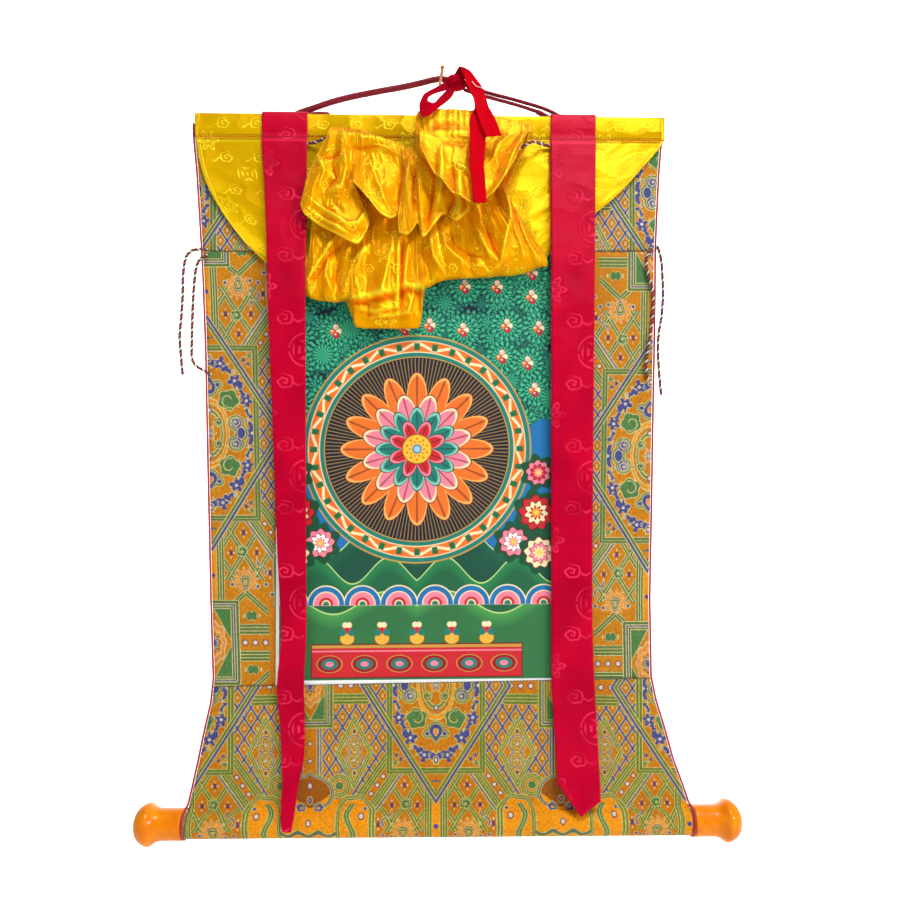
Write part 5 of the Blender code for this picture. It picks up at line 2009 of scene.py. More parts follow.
@dataclass
class SilkCover:
    """The yellow silk cover, one cloth: down from the heading, back up, over its string and down in front."""

    outline: Outline
    thickness: float = 0.45
    column_names: tuple[str, ...] = (
        "head", "foot_x", "foot_z", "lip_z", "lip_y", "waist_x", "crest_x", "crest_z",
        "mid_x", "mid_z", "mid_y", "hem_x", "hem_z", "hem_y",
    )
    table: tuple = (
        (-242.6, -133, -217, -217, -24, -122, -106, -55, -128, -100, -29, -136, -133, -32),
        (-228, -127, -221, -221, -27, -116, -102, -55, -119, -104, -34, -132, -144, -37),
        (-212, -119, -223, -223, -26, -110, -98, -55, -109, -105, -31, -118, -154, -33),
        (-196, -111, -224, -224, -30, -103, -94, -55, -99, -107, -36, -100, -165, -39),
        (-178, -103, -225, -225, -27, -96, -90, -56, -91, -109, -33, -79, -175, -37),
        (-160, -95, -224, -224, -31, -90, -86, -56, -84, -106, -31, -67, -151, -33),
        (-146, -88, -223, -223, -28, -84, -82, -57, -83, -88, -31, -86, -112, -42),
        (-132, -84, -250, -249, -31, -79, -77, -58, -76, -88, -31, -71, -129, -44),
        (-118, -72, -251, -250, -28, -71, -70, -60, -65, -89, -31, -57, -147, -45),
        (-104, -58, -251, -250, -31, -60, -61, -63, -53, -91, -32, -48, -151, -44),
        (-90, -44, -251, -250, -28, -50, -52, -66, -44, -94, -33, -42, -147, -41),
        (-76, -30, -251, -250, -31, -41, -44, -69, -38, -100, -34, -41, -133, -36),
        (-62, -19, -250, -249, -28, -34, -38, -71, -36, -112, -34, -40, -163, -36),
        (-46, -15, -211, -212, -32, -28, -34, -73, -29, -114, -37, -29, -164, -39),
        (-30, -10, -209, -210, -28, -22, -31, -74, -24, -118, -33, -21, -150, -35),
        (-14, -3, -206, -205, -32, -15, -28, -75, -20, -120, -35, -16, -169, -38),
        (2, 6, -202, -202, -28, -8, -27, -76, -15, -112, -33, 4, -140, -34),
        (16, 14, -202, -202, -31, 0, -26, -77, -9, -108, -36, 16, -152, -37),
        (30, 23, -201, -201, -33, 7, -25, -77, 0, -104, -35, 32, -137, -38),
        (46, 32, -200, -201, -29, 15, -24, -56, -10, -84, -40, 8, -112, -44),
        (64, 41, -200, -201, -33, 23, -22, -38, -22, -58, -38, -21, -80, -48),
        (84, 51, -201, -199, -34, 30, -6, -36, -8, -70, -41, -8, -106, -50),
        (104, 60, -201, -190, -36, 38, 14, -36, 9, -82, -43, 12, -128, -51),
        (126, 71, -201, -182, -36, 46, 34, -37, 28, -88, -43, 36, -142, -51),
        (150, 82, -199, -181, -36, 54, 54, -42, 48, -82, -42, 54, -126, -49),
        (180, 92, -195, -182, -33, 61, 74, -47, 66, -74, -38, 68, -102, -44),
        (225.6, 106, -189, -188, -29, 69, 91, -52, 86, -62, -33, 80, -75, -35),
    )
    sweep: tuple = ((0.24, 0.07, 0.21), (0.43, 0.20, 0.40), (0.67, 0.45, 0.71), (0.9, 0.82, 0.98))
    back_y: float = -21.0
    stitch_dip: float = 1.0
    waist_z: float = -118.0
    waist_y: tuple[float, float] = (-25.6, -27.4)
    string_y: tuple[float, float] = (-24.3, -30.2)
    # Rows from each control line to the next, and from each softened column to the next
    steps: tuple[int, ...] = (2, 2, 4, 3, 4, 4, 4, 6, 10, 4, 5, 30, 30, 12, 6, 8, 26, 40)
    finer_columns: int = 6
    # Control lines at the foot, the lip, the waist, the string, the front's start and the hem
    foot_line: float = 8.5
    lip_line: float = 10.2
    waist_line: float = 13.4
    string_line: float = 14.2
    front_line: float = 15.0
    hem_line: float = 18.6
    deepest: float = 6.0
    # Creases as seen from the front: height, width, lean, then the points (x, z) of each line
    skirt_creases: tuple = (
        (4.5, 4.5, 0.5, (-100, -160), (-117, -186), (-128, -205), (-127, -219)),
        (-3.5, 4.0, 0.0, (-94, -165), (-112, -187), (-122, -206)),
        (2.5, 3.0, 0.3, (-109, -176), (-112, -198), (-104, -220)),
        (-2.5, 3.5, 0.0, (-98, -182), (-103, -204), (-94, -222)),
        (3.5, 6.0, -0.4, (-66, -166), (-84, -188), (-95, -220)),
        (2.0, 3.0, 0.0, (-74, -176), (-82, -200), (-78, -222)),
        (3.2, 4.0, 0.4, (-47, -172), (-52, -198), (-57, -226)),
        (4.5, 5.0, 0.9, (-39, -160), (-40, -200), (-40, -236)),
        (-4.0, 2.2, 0.0, (-37, -166), (-37.5, -204), (-38, -236)),
        (2.4, 3.0, 0.0, (-31, -170), (-33, -190), (-34, -212)),
        (-3.4, 4.0, 0.3, (-19, -168), (-15, -190), (-16, -211)),
        (3.8, 3.2, -0.5, (-11, -160), (-6, -184), (7, -202)),
        (3.4, 4.0, 0.6, (1, -146), (6, -172), (19, -186), (36, -191)),
        (-3.4, 3.6, 0.0, (9, -150), (14, -168), (28, -179), (44, -184)),
        (4.2, 3.4, -0.5, (28, -136), (41, -166), (51, -188)),
        (-5.5, 4.0, 0.0, (38, -134), (49, -162), (57, -186)),
        (4.6, 4.4, 0.4, (66, -104), (69, -146), (63, -172), (59, -190)),
        (2.6, 2.2, 0.0, (62, -108), (74, -158), (83, -184)),
        (-3.0, 3.2, 0.0, (69, -116), (79, -156), (90, -184)),
        (3.6, 3.2, 0.4, (71, -104), (77, -142), (87, -172), (100, -189)),
        (1.8, 2.0, 0.0, (18, -178), (24, -196)), (-2.0, 2.4, 0.0, (28, -184), (31, -199)),
        # The hem that hangs over the tongue, and the tongue's own folds
        (5.0, 5.0, -0.95, (-90, -225), (-78, -225), (-60, -221), (-41, -216)),
        (4.0, 4.0, -0.95, (-41, -213), (-28, -213), (-14, -216)),
        (2.4, 3.0, -0.9, (-84, -233), (-62, -238), (-42, -233), (-41, -224)),
        (2.2, 2.4, -0.9, (-68, -243), (-46, -241), (-30, -238), (-25, -218)),
        (-1.6, 1.4, 0.0, (-70, -230), (-70, -243)),
    )
    front_creases: tuple = (
        (3.4, 4.0, 0.5, (-112, -60), (-84, -63), (-40, -68), (-10, -80)),
        (-6.0, 4.5, 0.4, (-84, -76), (-60, -74), (-34, -82)),
        (-5.0, 4.0, 0.0, (-114, -88), (-96, -82)),
        (3.4, 3.4, 0.5, (-94, -74), (-90, -98), (-95, -118), (-110, -122)),
        (-3.0, 2.6, 0.0, (-106, -92), (-101, -108), (-112, -118)),
        (2.4, 2.4, 0.0, (-120, -84), (-112, -100), (-118, -116)),
        (4.0, 2.4, 0.95, (-124, -129), (-110, -140), (-89, -153), (-80, -151), (-71, -137)),
        (2.6, 2.0, 0.8, (-128, -138), (-112, -149), (-84, -166)),
        (-2.4, 3.0, 0.0, (-104, -130), (-94, -142)),
        (3.0, 5.0, 0.4, (-66, -96), (-58, -118), (-52, -138)),
        (-4.5, 2.4, 0.5, (-34, -84), (-38, -116), (-42, -144)),
        (3.4, 3.0, -0.4, (-29, -86), (-33, -112), (-34, -132)),
        (-4.0, 2.6, 0.0, (-24, -96), (-26, -120), (-25, -140)),
        (4.6, 5.0, -0.6, (-20, -88), (-20, -126), (-17, -162)),
        (-5.5, 3.2, 0.5, (-4, -102), (-8, -134), (-13, -160)),
        (3.4, 4.0, 0.0, (2, -88), (2, -112), (-2, -134)),
        (-4.0, 3.0, 0.3, (12, -100), (14, -128), (6, -146)),
        (3.2, 3.4, 0.4, (19, -110), (20, -134), (16, -150)),
        (2.4, 2.0, 0.4, (-20, -51), (-2, -47), (18, -48), (44, -56)),
        (-2.4, 2.6, 0.0, (-12, -58), (6, -54), (28, -57), (46, -66)),
        (2.2, 2.0, 0.3, (-18, -66), (2, -62), (22, -64), (46, -74)),
        (-3.0, 5.0, 0.0, (2, -76), (28, -74), (44, -86)),
        (2.4, 4.0, 0.0, (10, -96), (30, -106), (44, -124)),
        (4.6, 4.4, 0.6, (91, -56), (74, -79), (62, -112), (48, -138)),
        (-3.6, 4.0, 0.0, (80, -60), (60, -88), (51, -118)),
        (1.8, 2.0, 0.0, (72, -62), (58, -76), (50, -96)),
    )

    def build(self, string: Array) -> None:
        """Makes the cover over its string, with its hems and the heading's stitching.

        Args:
            string: The gather string's points, in millimetres.
        """
        finish = SatinDamask(
            "yellow_silk", dye(234, 186, 0), dye(214, 154, 0), dye(252, 228, 40), dye(230, 102, 0),
            dye(240, 148, 0), ring=12.0, ringed=False, pitch=66.0, drop=34.0, gloss=0.25, figure_gloss=0.38,
            wrinkle=0.6, contrast=0.9, metal=0.3,
        ).material()
        folds = self._folds()
        lines = self._lines(folds, string)
        grid = fold_curve(lines, self.steps)
        lengths = cloth_lengths(grid)
        across = np.broadcast_to(folds["head"], lengths.shape)
        grid, relief, gathered = self._creased(grid, across, lengths)
        cloth = np.stack([across, lengths], axis=-1) * MM
        obj = sheet_object("silk_cover_cloth", grid, cloth, self.thickness, finish)
        # Painted shade goes where the relief has troughs and beside the gathers at the string
        mark(obj, "hollow", np.clip(np.maximum(-relief / 0.9 - 0.1, 0.6 * gathered), 0, 1))
        # Painted highlights go on the crests of the relief
        mark(obj, "ridge", np.clip(relief / 0.9 - 0.25, 0, 1))
        to_hem = lengths[-1] - lengths
        to_side = np.minimum(across - across[0, 0], across[0, -1] - across)
        mark(obj, "hem", np.minimum(to_hem, to_side))
        row = np.arange(len(grid))[:, None]
        tuck = 30.0 + grid[..., 2] - self.outline.stitch_z
        mark(obj, "tuck", np.where(row < sum(self.steps[:6]), tuck, 0.0))
        # Where the material paints the warm glow of bounced light: down the cover's front
        mark(obj, "warm", np.clip((row - sum(self.steps[:9])) / self.steps[9], 0, 1) * np.ones(across.shape))
        self._stitch()
        settle(obj, "yellow_silk", ["silk_cover"])
        declare_sheet(grid)

    def _stitch(self) -> None:
        """Two rows of stitches that hold the cover's heading to the mount, from side to side."""
        thread = Thread("silk_thread", dye(190, 120, 10), dye(120, 60, 0)).material()
        x = np.arange(-240.0, 222.0, 3.4)
        front = self.outline.pocket_front - 1.9 + self.stitch_dip * 0.6
        for name, drop in (("upper", -1.9), ("lower", 1.9)):
            z = np.full(len(x), self.outline.stitch_z - drop)
            start = np.stack([x, np.full(len(x), front - self.thickness / 2), z], axis=-1)
            way = np.tile((1.0, 0.0, 0.0), (len(x), 1))
            settle(stitches(f"heading_{name}_stitches", start, way, 2.6, 0.6, thread), "yellow_silk")

    def _folds(self) -> dict[str, Array]:
        """The table's columns, softened as in the solid and then made smooth between its folds.

        Returns:
            The columns by name, with each line's share of the cloth's length and its waist's depth.
        """
        table = np.array(self.table, float)
        rows = np.arange(len(table))
        coarse = np.linspace(0, len(table) - 1, (len(table) - 1) * 2 + 1)
        dense = np.column_stack([np.interp(coarse, rows, column) for column in table.T])
        soft = dense.copy()
        soft[1:-1] = 0.12 * dense[:-2] + 0.76 * dense[1:-1] + 0.12 * dense[2:]
        count = (len(coarse) - 1) * self.finer_columns + 1
        place = np.linspace(0, len(coarse) - 1, count)
        index = np.minimum(place.astype(int), len(coarse) - 2)
        folds = dict(zip(self.column_names, between(soft, index, (place - index)[:, None]).T))
        fine = place / 2
        folds["share"] = fine / fine[-1]
        pleat = 0.5 - 0.5 * np.cos(math.pi * fine)
        folds["waist_y"] = self.waist_y[0] * (1 - pleat) + self.waist_y[1] * pleat
        return folds

    def _lines(self, f: dict[str, Array], string: Array) -> Array:
        """The control lines across the folds, from the heading to the hem in front.

        Args:
            f: The table's columns.
            string: The string's points.

        Returns:
            The lines, with the shape (line, column, 3).
        """
        o = self.outline
        column = np.ones_like(f["head"])
        string_z = np.interp(f["crest_x"], string[:, 0], string[:, 2])
        front = o.pocket_front - 0.7 - 0.7 - 0.5
        stitched = front + self.stitch_dip
        lines = [
            (f["head"], (o.pocket_back - 1.5) * column, (o.heading_top + 1.6) * column),
            (f["head"], (front + 0.7) * column, (o.heading_top + 1.2) * column),
            (f["head"], front * column, (o.heading_top - 1.6) * column),
            (f["head"], front * column, (o.stitch_z + 6.0) * column),
            (f["head"], stitched * column, o.stitch_z * column),
        ]
        for share, left, right in self.sweep:
            moved = left * (1 - f["share"]) + right * f["share"]
            lines.append((
                f["head"] + (f["foot_x"] - f["head"]) * moved,
                (stitched * (1 - share) + (self.back_y + 1.0) * share) * column,
                o.stitch_z + (f["foot_z"] - o.stitch_z) * share,
            ))
        behind, before = self.string_y
        lines += [
            (f["foot_x"], self.back_y * column, f["foot_z"] + 3.0),
            (f["foot_x"], (self.back_y + f["lip_y"]) / 2, (f["foot_z"] + f["lip_z"]) / 2 - 1.2),
            (f["foot_x"], f["lip_y"], f["lip_z"] + 3.0),
            (
                0.55 * f["foot_x"] + 0.45 * f["waist_x"], 0.5 * f["lip_y"] + 0.5 * f["waist_y"],
                0.55 * f["lip_z"] + 0.45 * self.waist_z,
            ),
            (f["waist_x"], f["waist_y"], self.waist_z * column),
            (0.2 * f["waist_x"] + 0.8 * f["crest_x"], behind * column, string_z),
            (f["crest_x"], (behind + before) / 2 * column, f["crest_z"]),
            (
                0.8 * f["crest_x"] + 0.2 * f["mid_x"],
                np.minimum(before, 0.5 * f["mid_y"] + 0.5 * before),
                0.5 * np.minimum(string_z, f["crest_z"] - 6.0) + 0.375 * f["crest_z"] + 0.125 * f["mid_z"],
            ),
            (f["mid_x"], f["mid_y"], f["mid_z"]),
            (f["hem_x"], f["hem_y"], f["hem_z"]),
        ]
        return np.array([np.stack(line, axis=-1) for line in lines])

    def _creased(self, grid: Array, across: Array, lengths: Array) -> tuple[Array, Array, Array]:
        """Creases the cloth: by listed folds in front, gathers at the string and fine soft waves.

        Args:
            grid: The smooth cloth.
            across: How far across the flat cloth each point is.
            lengths: How far down the flat cloth it is.

        Returns:
            The creased cloth, its relief, and how near each point is to the string, from 0 to 1.
        """
        x, y, z = np.moveaxis(grid, -1, 0)
        line = np.interp(
            np.arange(grid.shape[0]), np.append(0, np.cumsum(self.steps)), np.arange(len(self.steps) + 1)
        )[:, None]
        skirt = np.clip((line - self.lip_line) / 0.6, 0, 1) * np.clip((self.waist_line - line) / 0.6, 0, 1)
        shown = np.clip((-z - 138.0) / 22.0, 0.15, 1)
        skirt = skirt * np.maximum(shown, np.clip((x - 52.0) / 10.0, 0, 1))
        front = np.clip((line - self.front_line) / 1.2, 0, 1) * np.ones_like(x)
        folds = skirt * creases(x, z, self.skirt_creases) + front * creases(x, z, self.front_creases)
        # Gathers that run down from the string, closest together beside it
        beat = across + 2.6 * np.sin(across / 9.0) + 1.4 * np.sin(across / 4.3 + 1.0)
        gather = 0.9 * np.cos(2 * math.pi * beat / 7.4) * np.exp(-(((line - self.string_line) / 1.3) ** 2))
        # Crisp ridges that wander, one set down the cloth and one slanting across it
        free = np.clip((line - self.foot_line) / 3.0, 0, 1) * np.clip(self.hem_line - line, 0.3, 1)
        bend = 7.0 * np.sin(lengths / 23.0 + across / 17.0) + 4.0 * np.sin(lengths / 9.0 - across / 31.0)
        down = (1 - np.abs(np.sin(math.pi * (across + bend) / 17.0))) ** 3
        slant = (1 - np.abs(np.sin(math.pi * (0.7 * across + 0.75 * lengths + 1.6 * bend) / 27.0))) ** 4
        patch = 0.5 + 0.5 * np.sin(across / 13.0 + lengths / 19.0) * np.sin(lengths / 15.0 - across / 29.0)
        waves = 1.1 * down * patch + 1.0 * slant * (1 - patch)
        moved = 1.25 * folds + gather + waves * free
        # No deeper near the string than the gap in front of it
        near = np.interp(line, (14.0, 16.2, 17.0), (-1.0, -1.0, -self.deepest))
        deepest = np.where(line > self.string_line - 0.7, near, -self.deepest)
        grid = np.stack([x, y - np.maximum(moved, deepest), z], axis=-1)
        gathered = np.clip(1 - np.abs(line - (self.string_line - 0.6)) / 2.0, 0, 1)
        return grid, self._relief(moved), gathered

    def _relief(self, height: Array) -> Array:
        """How far each point stands out from the cloth round it, in millimetres: troughs are negative.

        Args:
            height: How far each point is moved forward.

        Returns:
            The relief.
        """
        around = height
        for _ in range(9):
            padded = np.pad(around, 1, mode="edge")
            sides = padded[:-2, 1:-1] + padded[2:, 1:-1] + padded[1:-1, :-2] + padded[1:-1, 2:]
            around = 0.2 * around + 0.2 * sides
        return height - around


@dataclass
class Ribbons:
    """The two long crimson ribbons, folded behind their left edges where they are narrower than they are."""

    outline: Outline
    width: float = 45.0
    turn: float = 1.3
    columns: int = 46
    thickness: float = 0.5
    row_step: float = 3.0
    end_rows: int = 12
    left: tuple = (
        (-34.0, -176.0, -131.0, -11.0), (-34.6, -176.0, -131.0, -16.9), (-36.9, -176.0, -131.0, -18.8),
        (-52.0, -175.6, -131.0, -18.8), (-59.3, -175.2, -131.0, -18.6), (-63.0, -175.0, -131.0, -21.6),
        (-70.0, -174.6, -131.0, -22.0), (-110.0, -171.6, -131.0, -22.6), (-160.0, -169.0, -131.2, -26.4),
        (-220.0, -167.0, -131.4, -29.4), (-300.0, -164.2, -131.4, -27.8), (-460.0, -158.6, -131.2, -26.8),
        (-556.0, -154.4, -131.0, -27.4), (-606.0, -158.2, -133.0, -27.8), (-640.0, -155.0, -131.8, -28.8),
        (-676.0, -153.2, -133.0, -30.0), (-700.0, -152.4, -137.8, -32.0), (-716.0, -152.6, -139.6, -36.0),
        (-730.0, -152.0, -141.2, -40.6), (-741.0, -150.6, -143.0, -42.4),
    )
    right: tuple = (
        (-34.0, 110.6, 156.0, -11.0), (-34.6, 110.6, 156.0, -16.9), (-36.9, 110.6, 156.0, -18.8),
        (-52.0, 110.8, 155.8, -18.8), (-59.3, 111.0, 155.6, -18.6), (-63.0, 111.2, 155.4, -21.6),
        (-70.0, 111.3, 155.3, -22.0), (-110.0, 111.6, 154.6, -23.6), (-220.0, 112.0, 153.6, -24.8),
        (-400.0, 112.0, 152.0, -25.0), (-540.0, 112.0, 151.2, -26.4), (-600.0, 112.2, 153.0, -27.0),
        (-638.0, 114.0, 155.0, -27.8), (-672.0, 116.0, 156.6, -28.8), (-690.0, 117.0, 157.6, -29.8),
    )
    # The right ribbon's pointed end: share of its width, drop below its last row, depth
    right_end: tuple = ((0.0, 11.0, -31.2), (0.5, 40.0, -38.8), (1.0, 26.0, -34.6))

    def build(self) -> None:
        """Makes both ribbons."""
        finish = SatinDamask(
            "crimson_damask", dye(196, 4, 44), dye(150, 0, 36), dye(226, 40, 78), dye(110, 0, 24),
            dye(196, 4, 44), ring=16.0, pitch=84.0, drop=62.0, gloss=0.34, figure_gloss=0.5,
            wrinkle=0.3, contrast=1.1,
        ).material()
        left, across = self._grid(self.left)
        right, across_right = self._grid(self.right)
        right, across_right = self._with_point(right, across_right)
        for name, grid, shares in (("ribbon_left", left, across), ("ribbon_right", right, across_right)):
            lengths = tape_lengths(grid)
            cloth = np.stack([shares, lengths], axis=-1) * MM
            obj = sheet_object(f"{name}_damask", grid, cloth, self.thickness, finish)
            mark(obj, "tuck", np.where(grid[..., 2] > -100.0, 91.2 + grid[..., 2], 0.0))
            settle(obj, "crimson_damask", [name])

    def _grid(self, table: Sequence) -> tuple[Array, Array]:
        """The rows down a ribbon, and how far across the ribbon each point is.

        Args:
            table: Height, left x, right x and depth, down the ribbon.

        Returns:
            The grid, and each point's distance across.
        """
        table = np.array(table)
        steps = np.maximum(1, np.round(np.abs(np.diff(table[:, 0])) / self.row_step)).astype(int)
        z, left, right, depth = fold_curve(table, steps).T[:, :, None]
        face = np.minimum(right - left, self.width)
        width = np.minimum(self.width, 2 * face - 1.5)
        half_turn = math.pi * self.turn
        # Shares of the columns on the face, round the fold and behind it
        index = np.linspace(0, 8, self.columns)[None, :]
        even = width * index / 8
        spots = np.interp(index, (0, 3, 6, 8), (0, 1, 2, 3))
        last = np.maximum(width, face + half_turn + 1)
        folded = (
            np.clip(spots, 0, 1) * face + np.clip(spots - 1, 0, 1) * half_turn
            + np.clip(spots - 2, 0, 1) * (last - face - half_turn)
        )
        blend = np.minimum((width - face) / 8.0, 1.0)
        s = even * (1 - blend) + folded * blend
        angle = np.clip((s - face) / self.turn, 0, math.pi)
        back = np.clip(s - face - half_turn, 0, None)
        x = right - np.minimum(s, face) - self.turn * np.sin(angle) + back
        y = depth + self.turn * (1 - np.cos(angle))
        grid = np.stack([x, y, np.broadcast_to(z, x.shape)], axis=-1)
        return grid[:, ::-1], s[:, ::-1]

    def _with_point(self, grid: Array, across: Array) -> tuple[Array, Array]:
        """Adds the right ribbon's pointed end, which swings forward.

        Args:
            grid: The ribbon.
            across: Its distances across.

        Returns:
            Both, with the end's rows.
        """
        last = grid[-1]
        left, right = self.right[-1][1:3]
        share, drop, depth = np.array(self.right_end).T
        place = (last[:, 0] - left) / (right - left)
        drop, depth = (np.interp(place, share, values) for values in (drop, depth))
        t = np.linspace(0, 1, self.end_rows + 1)[1:, None]
        x = np.broadcast_to(last[:, 0], (self.end_rows, len(last)))
        rows = np.stack([x, last[:, 1] * (1 - t) + depth * t, last[:, 2] - drop * t], axis=-1)
        ends = np.repeat(across[-1:], self.end_rows, 0)
        return np.concatenate([grid, rows]), np.concatenate([across, ends])


# ---------------------------------------------------------------- cords, bow, nail and rod


@dataclass
class Cordage:
    """The red hanging cord and the thin twisted ones. Points are in millimetres."""

    outline: Outline
    hanging_diameter: float = 6.0
    hanging: tuple = (
        (-158, -3.9, -46), (-153, -3.9, -37), (-143, -3.8, -29.5), (-128, -3.7, -24.0), (-110, -3.7, -17.6),
        (-92, -3.7, -12.6), (-74, -3.7, -8.6), (-56, -3.7, -5.0), (-38, -3.7, -1.6), (-20, -3.7, 2.6),
        (-9, -3.7, 5.5), (-2.6, -3.8, 6.7), (2.4, -4.2, 6.7), (6.8, -5.6, 5.4),
    )
    doubled_diameter: float = 3.6
    doubled_upper: tuple = (
        (27.4, -9.6, -2.0), (36, -7.4, -4.0), (44, -5.0, -5.6), (58, -3.7, -8.6), (72, -3.7, -12.0),
        (86, -3.7, -15.8), (100, -3.7, -19.8), (112, -4.0, -24.4), (124, -4.6, -31.4), (132, -5.1, -42),
    )
    doubled_lower: tuple = (
        (25.6, -9.6, -7.0), (35, -7.4, -8.8), (44, -5.0, -10.0), (58, -3.7, -13.0), (72, -3.7, -16.6),
        (86, -3.7, -20.6), (97.4, -3.7, -24.4),
    )
    end_diameter: float = 5.0
    end_left: tuple = (
        (-144, -4.4, -44), (-139, -4.4, -36.6), (-131, -4.3, -31.8), (-122, -4.2, -30.0), (-113, -4.2, -30.4),
    )
    end_right: tuple = ((99.6, -4.2, -25.6), (105, -4.3, -28.4), (112, -4.4, -33.0), (118, -4.4, -43))
    string_diameter: float = 3.2
    string: tuple = (
        (-148, -18.5, -66.4), (-138, -18.5, -66.6), (-129.4, -18.6, -66.6), (-122, -20.4, -66.0),
        (-115, -24, -65.2), (-108, -27, -65.0), (-88, -27, -66), (-70, -27, -70), (-50, -27, -77),
        (-30, -27, -84), (-8, -27, -87), (20, -27, -87), (46, -27, -84), (66, -27, -79.4), (80, -27, -73),
        (91, -26.2, -67), (97, -22, -65.4), (102, -19.8, -65.8), (108.4, -18.6, -66.6), (122, -18.5, -66.4),
    )
    # Each hanging side tie: x and height along its route. Its depth follows the cloth behind it.
    side_ties: dict = field(default_factory=lambda: {
        "side_tie_left_a": (
            (-231, -172.6), (-239, -172.2), (-246, -174), (-251.4, -181), (-254, -198),
            (-254.2, -216), (-255.4, -238), (-257, -259), (-255.6, -279), (-254, -296),
        ),
        "side_tie_left_b": (
            (-231, -178.6), (-237, -181.4), (-240.6, -189), (-242.6, -202), (-244.2, -229),
            (-245, -260), (-244.8, -280), (-240.6, -288), (-234, -292), (-226.6, -296.6),
        ),
        "side_tie_right_a": (
            (212.0, -168.4), (208.4, -174), (207.2, -185), (209, -195), (212.4, -207),
            (213.8, -220), (212.6, -242), (209, -265), (206.4, -285), (208, -299),
        ),
        "side_tie_right_b": (
            (218.2, -166.4), (220.6, -173), (222.4, -184), (223.2, -198), (223.6, -214),
            (222.2, -236), (219.4, -252), (218.4, -268), (219.2, -290), (221.2, -314),
        ),
    })
    strands: int = 4
    pitch: float = 9.0

    def build(self) -> None:
        """Makes every cord."""
        red = BraidedCord("red_cord", dye(132, 8, 28), dye(84, 0, 16)).material()
        twisted = TwistedCord(
            "twisted_cord", dye(38, 26, 34), dye(226, 214, 200), dye(176, 62, 48), self.strands, self.pitch,
        ).material()
        left, _ = round_cord("cord_end_left_braid", self.end_left, self.end_diameter, red)
        right, _ = round_cord("cord_end_right_braid", self.end_right, self.end_diameter, red)
        settle(left, "red_cord", ["cord_end_left"])
        settle(right, "red_cord", ["cord_end_right"])
        cord, route = round_cord("hanging_cord_braid", self.hanging, self.hanging_diameter, red, around=20)
        settle(cord, "red_cord", ["hanging_cord"])
        for name, points, extra in (
            ("doubled_cord_upper", self.doubled_upper, []),
            ("doubled_cord_lower", self.doubled_lower, [right]),
        ):
            cord, route = round_cord(f"{name}_braid", points, self.doubled_diameter, red)
            settle(cord, "red_cord", [name])
        cord, route = round_cord(
            "gather_string_twist", self.string, self.string_diameter, twisted, step=0.6, around=24,
            strands=self.strands, pitch=self.pitch,
        )
        settle(cord, "twisted_cord", ["gather_string"])
        in_front = -(0.7 + self.string_diameter / 2 + 0.7)
        for name, points in self.side_ties.items():
            depths = self.outline.depth(np.array(points)[:, 1]) + in_front
            path = [(x, y, z) for (x, z), y in zip(points, depths)]
            cord, route = round_cord(
                f"{name}_twist", path, self.string_diameter, twisted, step=0.6, around=24,
                strands=self.strands, pitch=self.pitch,
            )
            settle(cord, "twisted_cord", [name])


